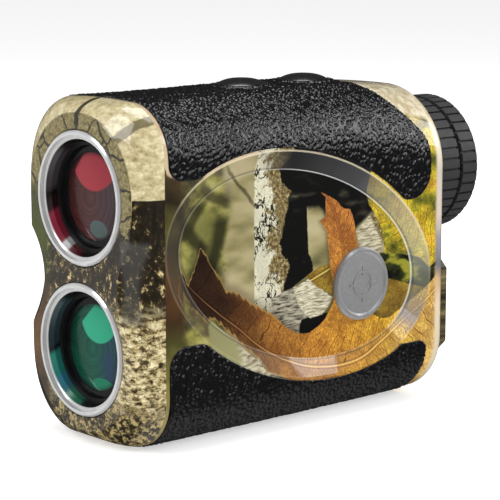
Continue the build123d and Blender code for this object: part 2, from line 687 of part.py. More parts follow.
pieces = {
    "body_shell": body_shell, "upper_grip": upper_grip, "lower_grip": lower_grip,
    "front_bezel": front_bezel, "upper_lens_ring": upper_lens_ring,
    "lower_lens_ring": lower_lens_ring, "upper_lens_retainer": upper_lens_retainer,
    "lower_lens_retainer": lower_lens_retainer, "upper_barrel": upper_barrel,
    "lower_barrel": lower_barrel, "upper_objective": upper_objective,
    "lower_objective": lower_objective, "focusing_lens": focusing_lens,
    "receiver_housing": receiver_housing, "receiver_filter": receiver_filter,
    "photodiode": photodiode, "receiver_board": receiver_board,
    "receiver_shield": receiver_shield, "chassis": chassis,
    "half_penta_prism": half_penta_prism, "roof_prism": roof_prism,
    "prism_frame": prism_frame, "prism_clip": prism_clip, "laser_emitter": laser_emitter,
    "display_holder": display_holder, "reticle_display": reticle_display,
    "main_board": main_board, "processor": processor,
    "storage_capacitors": storage_capacitors, "timing_chips": timing_chips,
    "board_screws": board_screws, "button_board": button_board,
    "button_board_screws": button_board_screws, "fire_switch": fire_switch,
    "mode_switch": mode_switch, "ribbon_cable": ribbon_cable, "fire_button": fire_button,
    "mode_button": mode_button, "eyepiece_tube": eyepiece_tube, "diopter_ring": diopter_ring,
    "eyecup": eyecup, "eyepiece_seal": eyepiece_seal, "ocular_cell": ocular_cell,
    "cam_pins": cam_pins, "eye_lens": eye_lens, "field_lens": field_lens,
    "ocular_retainer": ocular_retainer, "rear_cover": rear_cover,
    "battery_tube": battery_tube, "battery_contact": battery_contact, "battery": battery,
    "battery_door": battery_door, "door_contact": door_contact, "door_pin": door_pin,
    "badge_right": badge_right, "badge_left": badge_left,
    "rear_cover_screws": rear_cover_screws,
}

os.makedirs("parts", exist_ok=True)
for name, piece in pieces.items():
    piece.part.label = name
    export_step(piece.part, f"parts/{name}.step")
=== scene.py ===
"""Looks for the pocket laser rangefinder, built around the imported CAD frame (metres)."""

import math

import bmesh
import bpy
import numpy as np
from mathutils import Euler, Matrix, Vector, noise


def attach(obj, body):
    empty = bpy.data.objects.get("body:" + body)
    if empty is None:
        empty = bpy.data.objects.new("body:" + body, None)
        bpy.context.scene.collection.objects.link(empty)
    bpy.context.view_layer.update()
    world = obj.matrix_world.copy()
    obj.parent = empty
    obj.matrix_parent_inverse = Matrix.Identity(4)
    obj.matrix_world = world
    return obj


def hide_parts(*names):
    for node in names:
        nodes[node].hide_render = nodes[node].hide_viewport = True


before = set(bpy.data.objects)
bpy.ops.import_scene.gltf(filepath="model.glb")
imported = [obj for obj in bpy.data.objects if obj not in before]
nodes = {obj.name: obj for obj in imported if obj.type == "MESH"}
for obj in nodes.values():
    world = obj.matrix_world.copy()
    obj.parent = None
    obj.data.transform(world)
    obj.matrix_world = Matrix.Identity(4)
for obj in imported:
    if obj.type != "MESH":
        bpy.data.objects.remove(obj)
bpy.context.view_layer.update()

MM = 0.001
GRAIN_TURN = (28, 0, 12)
GRAIN_SCALE = (1.0, 1.0, 0.48)
GRAIN_CELL = 0.80
GRAIN_VOXEL = 0.22
GRAIN_DEPTH = 0.26
GRAIN_DRIFT_SCALE = 0.6
GRAIN_DRIFT = 0.5
VALLEY_WIDTH = 0.55
GRAIN_SEED = 1
HEART_Z = 36.0
PLAIN_IOR = 1.5


# ---------------------------------------------------------------- node language
class Sock:
    """A node output that can be used in arithmetic."""

    def __init__(self, graph, socket):
        self.g = graph
        self.s = socket

    def __add__(self, o):
        return self.g.math("ADD", self, o)

    def __sub__(self, o):
        return self.g.math("SUBTRACT", self, o)

    def __rsub__(self, o):
        return self.g.math("SUBTRACT", o, self)

    def __mul__(self, o):
        return self.g.math("MULTIPLY", self, o)

    def __truediv__(self, o):
        return self.g.math("DIVIDE", self, o)


class Graph:
    """Builds one procedural material; coordinates are in millimetres in the part's frame."""

    def __init__(self, name):
        self.mat = bpy.data.materials.new(name)
        self.mat.use_nodes = True
        self.t = self.mat.node_tree
        self.t.nodes.clear()
        self.out = self.t.nodes.new("ShaderNodeOutputMaterial")
        coord = self.t.nodes.new("ShaderNodeTexCoord")
        scale = self.t.nodes.new("ShaderNodeVectorMath")
        scale.operation = "SCALE"
        self.t.links.new(coord.outputs["Object"], scale.inputs[0])
        scale.inputs["Scale"].default_value = 1.0 / MM
        self.p = Sock(self, scale.outputs[0])
        sep = self.t.nodes.new("ShaderNodeSeparateXYZ")
        self.t.links.new(self.p.s, sep.inputs[0])
        self.x, self.y, self.z = (Sock(self, sep.outputs[i]) for i in range(3))

    def put(self, node, key, value):
        """Links a Sock to an input, or sets a plain value there."""
        if isinstance(value, Sock):
            self.t.links.new(value.s, node.inputs[key])
        elif value is not None:
            node.inputs[key].default_value = value

    def math(self, op, a, b=None):
        n = self.t.nodes.new("ShaderNodeMath")
        n.operation = op
        self.put(n, 0, a)
        self.put(n, 1, b)
        return Sock(self, n.outputs[0])

    def minimum(self, a, b):
        return self.math("MINIMUM", a, b)

    def maximum(self, a, b):
        return self.math("MAXIMUM", a, b)

    def step(self, v, low, high):
        """0 below low, 1 above high, smooth between."""
        n = self.t.nodes.new("ShaderNodeMapRange")
        n.interpolation_type = "SMOOTHSTEP"
        self.put(n, 0, v)
        flip = high < low
        n.inputs[1].default_value = min(low, high)
        n.inputs[2].default_value = max(low, high)
        n.inputs[3].default_value = 1.0 if flip else 0.0
        n.inputs[4].default_value = 0.0 if flip else 1.0
        return Sock(self, n.outputs[0])

    def vec(self, x, y, z):
        n = self.t.nodes.new("ShaderNodeCombineXYZ")
        self.put(n, 0, x)
        self.put(n, 1, y)
        self.put(n, 2, z)
        return Sock(self, n.outputs[0])

    def mapped(self, v, turn=(0, 0, 0), scale=(1, 1, 1)):
        n = self.t.nodes.new("ShaderNodeMapping")
        self.put(n, 0, v)
        n.inputs["Rotation"].default_value = [math.radians(a) for a in turn]
        n.inputs["Scale"].default_value = scale
        return Sock(self, n.outputs[0])

    def noise(self, v, scale, detail=3.0, rough=0.55):
        n = self.t.nodes.new("ShaderNodeTexNoise")
        self.put(n, "Vector", v)
        n.inputs["Scale"].default_value = scale
        n.inputs["Detail"].default_value = detail
        n.inputs["Roughness"].default_value = rough
        return Sock(self, n.outputs[0])

    def warp(self, v, scale, amount, detail=2.0):
        """The coordinates pushed about by coloured noise."""
        n = self.t.nodes.new("ShaderNodeTexNoise")
        self.put(n, "Vector", v)
        n.inputs["Scale"].default_value = scale
        n.inputs["Detail"].default_value = detail
        a = self.t.nodes.new("ShaderNodeVectorMath")
        a.operation = "SUBTRACT"
        self.t.links.new(n.outputs["Color"], a.inputs[0])
        a.inputs[1].default_value = (0.5, 0.5, 0.5)
        b = self.t.nodes.new("ShaderNodeVectorMath")
        b.operation = "MULTIPLY_ADD"
        self.t.links.new(a.outputs[0], b.inputs[0])
        b.inputs[1].default_value = (amount,) * 3
        self.put(b, 2, v)
        return Sock(self, b.outputs[0])

    def cells(self, v, scale):
        """Distance to the nearest wall of a scatter of cells."""
        n = self.t.nodes.new("ShaderNodeTexVoronoi")
        n.feature = "DISTANCE_TO_EDGE"
        self.put(n, "Vector", v)
        n.inputs["Scale"].default_value = scale
        return Sock(self, n.outputs["Distance"])

    def curve(self, v, points, smooth=False):
        """Height of a line through the listed points at v; points are (position, height) in
        millimetres.
        """
        xs = [p[0] for p in points]
        ys = [p[1] for p in points]
        x0, x1 = min(xs), max(xs)
        y0, y1 = min(ys), max(ys) + 1e-6
        n = self.t.nodes.new("ShaderNodeFloatCurve")
        self.put(n, "Value", (v - x0) / (x1 - x0))
        c = n.mapping.curves[0]
        pts = sorted(((a - x0) / (x1 - x0), (b - y0) / (y1 - y0)) for a, b in points)
        while len(c.points) < len(pts):
            c.points.new(0.5, 0.5)
        for q, (a, b) in zip(c.points, pts):
            q.location = (a, b)
            q.handle_type = "AUTO" if smooth else "VECTOR"
        n.mapping.use_clip = True
        n.mapping.update()
        return Sock(self, n.outputs[0]) * (y1 - y0) + y0

    def ramp(self, v, stops):
        """Colour ramp from (place, colour) stops."""
        n = self.t.nodes.new("ShaderNodeValToRGB")
        self.put(n, 0, v)
        e = n.color_ramp.elements
        while len(e) > 1:
            e.remove(e[-1])
        e[0].position = stops[0][0]
        e[0].color = (*stops[0][1], 1.0)
        for pos, col in stops[1:]:
            e.new(pos).color = (*col, 1.0)
        return Sock(self, n.outputs[0])

    def mix(self, fac, a, b, kind="MIX"):
        n = self.t.nodes.new("ShaderNodeMix")
        n.data_type = "RGBA"
        n.blend_type = kind
        self.put(n, 0, fac)
        self.put(n, 6, a if isinstance(a, Sock) else (*a, 1.0))
        self.put(n, 7, b if isinstance(b, Sock) else (*b, 1.0))
        return Sock(self, n.outputs[2])

    def bump(self, height, distance):
        """Distance in millimetres."""
        n = self.t.nodes.new("ShaderNodeBump")
        n.inputs["Distance"].default_value = distance * MM
        self.put(n, "Height", height)
        return Sock(self, n.outputs[0])

    def finish(self, colour, rough, normal=None, metal=0.0, coat=0.0, coat_rough=0.03,
               spec=0.5, trans=0.0, glow=0.0):
        """Joins everything in one Principled shader and returns the material."""
        n = self.t.nodes.new("ShaderNodeBsdfPrincipled")
        self.put(n, "Base Color", colour if isinstance(colour, Sock) else (*colour, 1.0))
        self.put(n, "Roughness", rough)
        self.put(n, "Metallic", metal)
        n.inputs["Coat Weight"].default_value = coat
        n.inputs["Coat Roughness"].default_value = coat_rough
        n.inputs["IOR"].default_value = PLAIN_IOR
        n.inputs["Specular IOR Level"].default_value = spec
        n.inputs["Transmission Weight"].default_value = trans
        n.inputs["Emission Color"].default_value = (1.0, 1.0, 1.0, 1.0)
        n.inputs["Emission Strength"].default_value = glow
        if normal is not None:
            self.t.links.new(normal.s, n.inputs["Normal"])
        self.t.links.new(n.outputs[0], self.out.inputs[0])
        return self.mat


# ---------------------------------------------------------------- printed forest pattern, with painted light and shade
BLACK = (0.006, 0.006, 0.005)
VEIN_SHADE = (0.36, 0.28, 0.2)
OVAL_Y = -7.3
OVAL_Z = 35.7
OVAL_TILT = -15.3
OVAL_OUTER = (39.5, 24.2)
OVAL_INNER = (34.8, 20.1)
PRINT_GAMMA = 1.22
BODY_HIGH = 73.0
BEZEL_FACE_Y = -52.15
BUTTON_PLACES_Y = (-7.55, 10.95)
WELL_RADIUS = 7.3
LEAF_START = -42.0
LEAF_RUN = 76.0


def scaled(colour, factor):
    """A colour made darker or lighter, held at 1."""
    return tuple(min(1, c * factor) for c in colour)


def grey(level):
    return (level,) * 3


def bark_cream(g, v, tint, dark, scale):
    """Pale bark: broad plates, ragged dark cracks and fine speckle."""
    w = g.mapped(g.warp(v, 0.5, 1.2, 3.0), scale=(1, 1, 0.7))
    fine = g.noise(v, 1.6, 6.0, 0.7)
    mottled = g.ramp(fine, [(0.26, scaled(tint, 0.55)), (0.42, scaled(tint, 0.88)), (0.60, tint),
                            (0.8, scaled(tint, 1.22))])
    plates = g.noise(w, scale * 1.4, 3.0)
    mottled = g.mix(g.step(plates, 0.40, 0.62) * 0.35, mottled, scaled(tint, 0.62))
    across = g.mapped(w, turn=(90, 0, 0))
    lines = g.maximum(fissures(g, w, scale, 0.016), fissures(g, across, scale * 1.7, 0.010))
    return g.mix(lines, mottled, dark)


def fissures(g, v, scale, width, detail=5.0, rough=0.62):
    """Thin ragged cracks that follow the level lines of a noise."""
    n = g.noise(v, scale, detail, rough)
    return g.step(g.math("ABSOLUTE", n - 0.5), width, width * 0.35)


def striped(g, v, turn, light, dark, pitch):
    """Split wood: fine lines along one direction."""
    w = g.mapped(g.warp(v, 0.3, 0.8), turn=turn, scale=(0.25, 0.25, pitch))
    n = g.noise(w, 1.5, 4.0, 0.6)
    return g.ramp(n, [(0.36, dark), (0.47, tuple((a + b) / 2 for a, b in zip(light, dark))),
                      (0.58, light)])


def leaf_skin(g, along, across, base, vein, spacing=4.2, slant=0.9, width=0.24):
    """A dry leaf: a midrib, slanting side veins and a fine net between them."""

    def shaded(colour, factor):
        return g.mix(1.0, colour, factor, "MULTIPLY")

    side = g.math("ABSOLUTE", across)
    run = along + side * slant + (g.noise(g.p, 0.14, 3.0) - 0.5) * 5.0
    crest = spacing / 4
    saw = g.math("ABSOLUTE", g.math("PINGPONG", run, spacing / 2) - crest)
    main = g.step(side, width, width * 0.3)
    reach = g.step(side, 11.0, 6.0)
    rib = g.step(saw, crest - 0.20, crest - 0.03) * reach
    beside = g.step(saw, crest - 0.75, crest - 0.1) * reach
    web = g.step(g.cells(g.warp(g.p, 1.2, 0.7), 0.75), 0.075, 0.015)
    small = g.step(g.cells(g.warp(g.p, 2.5, 0.3), 2.0), 0.12, 0.02)
    fine = g.noise(g.p, 2.2, 6.0, 0.72)
    c = g.mix(g.step(fine, 0.38, 0.62), shaded(base, (0.60, 0.50, 0.40)), base)
    c = g.mix(small * 0.22, c, shaded(base, VEIN_SHADE))
    c = g.mix(web * 0.38, c, shaded(base, VEIN_SHADE))
    shade = g.step(g.noise(g.p, 0.16, 4.0, 0.62), 0.44, 0.60)
    c = g.mix(shade * 0.6, c, shaded(c, (0.50, 0.38, 0.28)))
    glint = g.step(g.noise(g.mapped(g.p, scale=(1, 1, 1.4)), 0.30, 4.0, 0.6), 0.58, 0.70)
    c = g.mix(glint * 0.35, c, shaded(c, (1.6, 1.6, 1.5)))
    c = g.mix(beside * 0.30, c, shaded(c, (1.5, 1.45, 1.3)))
    c = g.mix(rib * 0.9, c, shaded(base, (0.24, 0.16, 0.11)))
    edge = g.step(g.math("ABSOLUTE", side - width * 1.7), width * 0.9, width * 0.2)
    c = g.mix(edge * 0.7, c, shaded(base, (0.30, 0.20, 0.14)))
    return g.mix(main, c, vein)


def smoky_rim_and_painted_reflections(g, col):
    """Smoky translucent rim round the side oval, laid over the print; its tint round the band carries
    painted reflections and shade, with painted highlights on both lips and a painted shade line
    inside.
    """
    turn = math.radians(OVAL_TILT)
    dy = g.y - OVAL_Y
    dz = g.z - OVAL_Z
    u = dy * math.cos(turn) + dz * math.sin(turn)
    w = dz * math.cos(turn) - dy * math.sin(turn)

    def span(half_long, half_short):
        return g.math("SQRT", (u / half_long) * (u / half_long) + (w / half_short) * (w / half_short))

    outer = span(*OVAL_OUTER)
    inner = span(*OVAL_INNER)
    band = g.step(outer, 1.004, 0.996) * g.step(inner, 0.994, 1.006)
    angle = g.math("ARCTAN2", w / 22.0, u / 37.0) / (2 * math.pi) + 0.5
    # Smoky tint with painted reflections and shade, by angle round the band: dark at the left, pale
    # at the right, near black across the top; cover sets how strongly each shows.
    tone = g.ramp(angle, [
        (0.0, (0.075, 0.065, 0.055)), (0.10, (0.14, 0.11, 0.07)), (0.36, (0.62, 0.42, 0.10)),
        (0.452, (0.26, 0.25, 0.29)), (0.50, (0.30, 0.31, 0.24)), (0.57, (0.60, 0.62, 0.50)),
        (0.64, (0.30, 0.31, 0.30)), (0.70, (0.07, 0.07, 0.075)), (0.79, (0.008, 0.008, 0.01)),
        (0.87, (0.30, 0.26, 0.18)), (0.94, (0.10, 0.09, 0.07)), (1.0, (0.075, 0.065, 0.055))])
    cover = g.ramp(angle, [
        (0.0, grey(0.70)), (0.09, grey(0.50)), (0.20, grey(0.10)), (0.425, grey(0.06)),
        (0.452, grey(0.78)), (0.50, grey(0.50)), (0.57, grey(0.40)), (0.64, grey(0.55)),
        (0.70, grey(0.86)), (0.79, grey(0.92)), (0.835, grey(0.12)), (0.93, grey(0.25)),
        (1.0, grey(0.70))])
    smoke = g.step(g.noise(g.p, 0.10, 2.0), 0.3, 0.7) * 0.25 + 0.85
    col = g.mix(band * cover * smoke, col, tone)
    # Painted highlight along the inner lip, strongest on the right and top.
    right = g.step(angle, 0.44, 0.47) * g.step(angle, 0.84, 0.76)
    inner_lip_highlight = g.step(g.math("ABSOLUTE", inner - 1.0), 0.010, 0.003)
    col = g.mix(inner_lip_highlight * (right * 0.45 + 0.12), col, (0.80, 0.80, 0.78))
    # Painted highlight along the outer lip, strongest along the top.
    outer_lip_highlight = g.step(g.math("ABSOLUTE", outer - 1.0), 0.012, 0.004)
    upper = g.step(w, 2.0, 14.0)
    col = g.mix(outer_lip_highlight * (upper * 0.5 + 0.10), col, (0.78, 0.70, 0.52))
    # Painted shade line just outside the inner lip.
    shade = g.step(g.math("ABSOLUTE", inner - 1.016), 0.012, 0.004)
    return g.mix(shade * 0.35, col, (0.02, 0.02, 0.02))


class SidePrint:
    """Fields shared by the layers of the side print, which lies in the (y, z) plane."""

    def __init__(self, g):
        jitter = g.noise(g.p, 0.9, 4.0, 0.65) - 0.5
        self.g = g
        self.soft = g.noise(g.p, 0.11, 2.0) - 0.5
        self.y = g.y + jitter * 0.5
        self.z = g.z + jitter * 0.5
        self.flat = g.vec(0.0, g.y, g.z)
        self.moss = g.ramp(g.noise(self.flat, 1.3, 6.0, 0.75), [
            (0.38, (0.05, 0.035, 0.012)), (0.5, (0.24, 0.18, 0.07)), (0.64, (0.55, 0.47, 0.26))])

    def below(self, points, width=0.12):
        """1 under a line of (y, z) points."""
        return self.g.step(self.g.curve(self.y, points) - self.z, -width, width)

    def above(self, points, width=0.12):
        return 1.0 - self.below(points, width)

    def right_of(self, points, width=0.12):
        """1 behind a line of (z, y) points."""
        return self.g.step(self.y - self.g.curve(self.z, points), -width, width)

    def left_of(self, points, width=0.12):
        return 1.0 - self.right_of(points, width)

    def past(self, start, end):
        """Grows from 0 to 1 along y; it falls where start is the larger."""
        return self.g.step(self.y, start, end)

    def stretched(self, turn_x, length):
        """The plane turned about X, then stretched along its new Z."""
        return self.g.mapped(self.flat, turn=(turn_x, 0, 0), scale=(1, 1, length))


def blurred_ground(s):
    """Out-of-focus khaki, greener towards the front."""
    g = s.g
    haze = g.noise(s.stretched(-35, 2.6), 0.06, 2.0)
    col = g.ramp(haze, [(0.30, (0.10, 0.095, 0.03)), (0.42, (0.27, 0.24, 0.10)),
                        (0.54, (0.42, 0.37, 0.20)), (0.7, (0.50, 0.44, 0.27))])
    wild = g.step(s.y + s.soft * 10.0, -26.5, -31.0)
    leafy = g.noise(s.stretched(-40, 1.5), 0.13, 3.0, 0.55)
    green_haze = g.ramp(leafy, [(0.38, (0.020, 0.018, 0.006)), (0.46, (0.11, 0.105, 0.015)),
                                (0.54, (0.30, 0.29, 0.05)), (0.66, (0.46, 0.43, 0.15))])
    col = g.mix(wild * 0.95, col, green_haze)
    grain = g.noise(s.flat, 2.2, 3.0, 0.7)
    col = g.mix(g.step(grain, 0.3, 0.7) * 0.16, col, (0.60, 0.53, 0.36))
    along = g.step(g.math("ABSOLUTE", s.y + 35.0 + s.soft * 6), 6.5, 2.0)
    up = g.step(g.math("ABSOLUTE", s.z - 44.0), 9.0, 4.0)
    return g.mix(along * up * 0.8, col, (0.20, 0.20, 0.055))


def twigs(s, col):
    """Dark blurred twigs: (y, z) of a point, slope, half width, extent and strength."""
    g = s.g
    rising = ((-31.0, 44.0, 0.30, 1.7, 35.0, 50.0, 0.95), (-39.0, 46.0, -0.9, 1.9, 40.0, 52.0, 0.9),
              (-37.0, 49.0, 0.8, 1.2, 44.0, 54.0, 0.8))
    lying = ((-32.0, 53.0, -0.55, 1.1, -38.0, -26.0, 0.8), (-24.5, 54.0, -1.15, 0.55, -31, -19, 0.7))

    def draw(col, off, half, extent, low, high, amount, tint):
        span = g.step(extent, low, low + 3) * g.step(extent, high, high - 3)
        return g.mix(g.step(off, half * 1.8, half * 0.4) * span * amount, col, tint)

    for y0, z0, slope, half, low, high, amount in rising:
        off = g.math("ABSOLUTE", s.y - y0 - (s.z - z0) * slope + s.soft * 3)
        col = draw(col, off, half, s.z, low, high, amount, (0.045, 0.043, 0.012))
    for y0, z0, slope, half, low, high, amount in lying:
        off = g.math("ABSOLUTE", s.z - z0 - (s.y - y0) * slope + s.soft * 4)
        col = draw(col, off, half, s.y, low, high, amount, (0.05, 0.045, 0.014))
    return col


def front_edge(s, col):
    """Brown to green blur at the front edge of the shell, and the pale band along its top."""
    g = s.g
    blur = g.ramp((g.z + s.soft * 16) / BODY_HIGH, [
        (0.0, (0.50, 0.44, 0.26)), (0.22, (0.36, 0.34, 0.10)), (0.30, (0.14, 0.14, 0.03)),
        (0.40, (0.10, 0.055, 0.018)), (0.48, (0.20, 0.10, 0.03)), (0.56, (0.09, 0.08, 0.025)),
        (0.64, (0.20, 0.19, 0.05)), (0.72, (0.05, 0.035, 0.015)), (0.80, (0.16, 0.11, 0.05)),
        (0.86, (0.60, 0.50, 0.34)), (1.0, (0.72, 0.60, 0.44))])
    col = g.mix(s.past(-39.5, -42.5), col, g.mix(1.0, blur, (0.72, 0.68, 0.62), "MULTIPLY"))
    top_edge = [(-46, 60), (-38, 57.5), (-30, 59.6), (-20, 61), (-6, 63), (34, 56)]
    top_line = g.curve(s.y, top_edge, True)
    return g.mix(g.step(s.z - top_line, -0.5, 0.5), col, (0.62, 0.50, 0.34))


def trunk_and_canopy(s, col):
    """The dark trunk behind the birch and the dark canopy over it."""
    g = s.g
    dark = g.mix(g.step(g.noise(g.p, 1.2, 5.0, 0.7), 0.62, 0.72), BLACK, (0.14, 0.10, 0.055))
    trunk_right = [(20, -8.5), (30.5, -10.5), (31.5, -9.0), (33.0, -5.5), (34.0, -3.6),
                   (36.0, -4.0), (38.0, -5.1), (48, -5.7), (52, -5.7), (75, -5.7)]
    trunk = s.right_of([(20, -15), (75, -15)], 0.3) * s.left_of(trunk_right)
    col = g.mix(trunk, col, dark)
    canopy_low = [(-16, 47.8), (-5.6, 47.8), (-2.0, 47.6), (0.0, 46.0), (8.5, 41.4), (11.5, 43.2),
                  (14.0, 44.8), (20, 44)]
    canopy = s.above(canopy_low, 0.9) * s.past(-14, -13) * s.past(20, 19)
    smear = g.noise(s.stretched(-30, 3), 0.12, 2.0)
    return g.mix(canopy, col, g.ramp(smear, [
        (0.56, BLACK), (0.68, (0.05, 0.045, 0.03)), (0.80, (0.22, 0.19, 0.12))]))


def birch_trunk(s, col):
    """The pale birch, with the split wood at its foot, a black pit and a light chip of bark."""
    g = s.g
    birch_right = [(20, -9.0), (26, -9.0), (31, -12.6), (33, -11.6), (36, -10.2), (38.5, -12.6),
                   (41, -13.2), (46, -12.2), (49, -11.0), (52, -10.6), (54, -12.6), (57, -13.6),
                   (60, -11.0), (75, -10.5)]
    ragged = (g.noise(g.p, 0.55, 5.0, 0.7) - 0.5) * 3.4
    birch = g.step(s.y - ragged * 0.12 + 20.7, -0.25, 0.25) \
        * g.step(g.curve(s.z, birch_right) + ragged - s.y, -0.15, 0.15)
    pale = bark_cream(g, s.flat, (0.72, 0.70, 0.54), (0.016, 0.013, 0.008), 0.10)
    spread = g.noise(g.vec(3.0, g.y, g.z), 0.17, 4.0, 0.65) + (s.y + 17.0) * 0.035
    pale = g.mix(g.step(spread, 0.54, 0.60), pale, s.moss)
    col = g.mix(birch, col, pale)
    foot_top = [(-22, 30.6), (-16, 29.4), (-12, 30.4), (-9.5, 31.0), (-8, 27.5), (-5, 24.2),
                (-2, 24), (4, 24)]
    wood = striped(g, s.flat, (-28, 0, 0), (0.46, 0.43, 0.33), (0.06, 0.05, 0.035), 1.3)
    foot = s.below(foot_top) * s.past(-20.9, -20.5)
    col = g.mix(foot, col, g.mix(s.past(-17.5, -14.5), pale, wood))
    pit = s.below([(-9, 20), (-7, 23.6), (-4, 24.0), (1, 24.2), (4, 24)]) * s.past(-8.0, -7.4)
    col = g.mix(pit, col, BLACK)
    chip_light = striped(g, s.flat, (-33, 0, 0), (0.72, 0.68, 0.52), (0.20, 0.16, 0.09), 1.6)
    chip_top = [(-9.6, 31.0), (-4.0, 32.6), (-2.5, 30.4), (2.4, 27.2)]
    chip_low = [(-9.6, 30.8), (-8.2, 27.5), (-6.5, 25.0), (-4.5, 23.5), (-1.0, 23.9), (1.0, 25.5),
                (2.4, 27.2)]
    chip = s.below(chip_top) * s.above(chip_low) * s.past(-9.6, -9.5) * s.past(2.4, 2.3)
    return g.mix(chip, col, chip_light)


def green_leaf(s, col):
    """Yellow-green leaf, upper right, with its shaded lower fold and a chip of bark before it."""
    g = s.g
    patches = g.noise(s.stretched(-40, 1.7), 0.10, 3.0)
    green = g.ramp(patches, [(0.32, (0.10, 0.13, 0.006)), (0.43, (0.42, 0.42, 0.02)),
                             (0.52, (0.80, 0.70, 0.03)), (0.66, (0.92, 0.66, 0.05))])
    green = leaf_skin(g, (g.y * 0.8 - g.z * 0.6), (g.y * 0.6 + g.z * 0.8 - 46.0), green,
                      (0.50, 0.44, 0.10), 5.0, 0.7, 0.12)
    green_low = [(11.8, 51.0), (13.0, 47.0), (15.0, 44.4), (16.8, 41.5), (17.8, 38.0),
                 (18.4, 35.2), (22, 34.8), (26, 34.2), (29, 33.0), (31.0, 30.8), (35, 33)]
    shade = g.ramp(g.noise(s.stretched(-15, 2.4), 0.13, 3.0), [
        (0.42, (0.007, 0.008, 0.004)), (0.52, (0.05, 0.06, 0.008)), (0.62, (0.34, 0.33, 0.03))])
    fold = s.past(16.5, 17.0) * s.below([(16, 35.6), (22, 35.0), (30, 33.2), (35, 33)], 0.3)
    col = g.mix(fold, col, shade)
    gloom = s.past(16.5, 17.5) * s.below([(16, 28), (24, 27.2), (35, 27)], 0.5)
    litter = g.mix(g.step(g.noise(s.flat, 0.4, 3.0), 0.5, 0.6), BLACK, (0.055, 0.035, 0.018))
    col = g.mix(gloom, col, litter)
    col = g.mix(s.above(green_low) * s.past(11.9, 12.1), col, green)
    chip_top = [(9.2, 41.4), (14.0, 44.8), (16.0, 43.4), (17.4, 40.2), (18.0, 38.2)]
    chip_low = [(9.2, 41.2), (10.4, 37.6), (13.0, 36.8), (16.4, 35.2), (18.0, 38.0)]
    chip = s.below(chip_top) * s.above(chip_low) * s.past(9.2, 9.3) * s.past(18.0, 17.9)
    wood = striped(g, s.flat, (62, 0, 0), (0.66, 0.62, 0.46), (0.22, 0.17, 0.09), 1.5)
    return g.mix(chip, col, g.mix(g.step(s.y + s.z * 0.6, 39.5, 40.5), wood, s.moss))


def small_leaf(s, col):
    """Small yellow leaf behind the standing lobe."""
    g = s.g
    bit = s.below([(-5.8, 33.0), (-2.0, 34.6), (1.0, 34.9), (4.0, 34)]) \
        * s.above([(-5.8, 32.9), (-2.5, 30.2), (4.0, 27)]) * s.past(-5.8, -5.7)
    return g.mix(bit, col, leaf_skin(g, g.y * 0.9 + g.z * 0.3, g.z * 0.9 - g.y * 0.3 - 30.0,
                                     (0.46, 0.34, 0.04), (0.6, 0.5, 0.15)))


def standing_lobe(s, col):
    """The orange lobe that stands up from the great leaf."""
    g = s.g
    lobe_left = [(20, 0.8), (26, 2.3), (30, 2.5), (33, 1.7), (36, 1.2), (39, 0.8), (42, 0.4),
                 (44.7, -1.7), (45.4, 0.0), (48, -0.1), (49.6, -0.1), (50.9, -1.5), (51, 3)]
    lobe_right = [(20, 14), (30, 11.2), (36, 10.4), (38, 9.8), (41, 9.2), (44, 8.5), (46.4, 7.4),
                  (46.8, 5.2), (48.5, 3.4), (49.9, 1.0), (50.9, -1.2), (51, -3)]
    midrib = g.curve(g.z, [(20, 6), (36, 5.5), (46, 2.6), (51, -1.2)], True)
    lobe_base = g.ramp((s.z - 22.0) / 29.0, [
        (0.0, (0.84, 0.50, 0.07)), (0.45, (0.74, 0.38, 0.07)), (1.0, (0.60, 0.27, 0.06))])
    lobe_skin = leaf_skin(g, g.z * -1.0, g.y - midrib, lobe_base, (0.36, 0.14, 0.03), 4.6, 1.0)
    near = g.step(s.y - g.curve(s.z, lobe_left), -1.5, 0.6) * s.left_of(lobe_right, 1.0)
    col = g.mix(near * 0.55 * g.step(s.z, 51.5, 49), col, (0.02, 0.012, 0.006))
    lobe = s.right_of(lobe_left) * s.left_of(lobe_right) * g.step(s.z, 51.0, 50.8)
    return g.mix(lobe, col, lobe_skin)


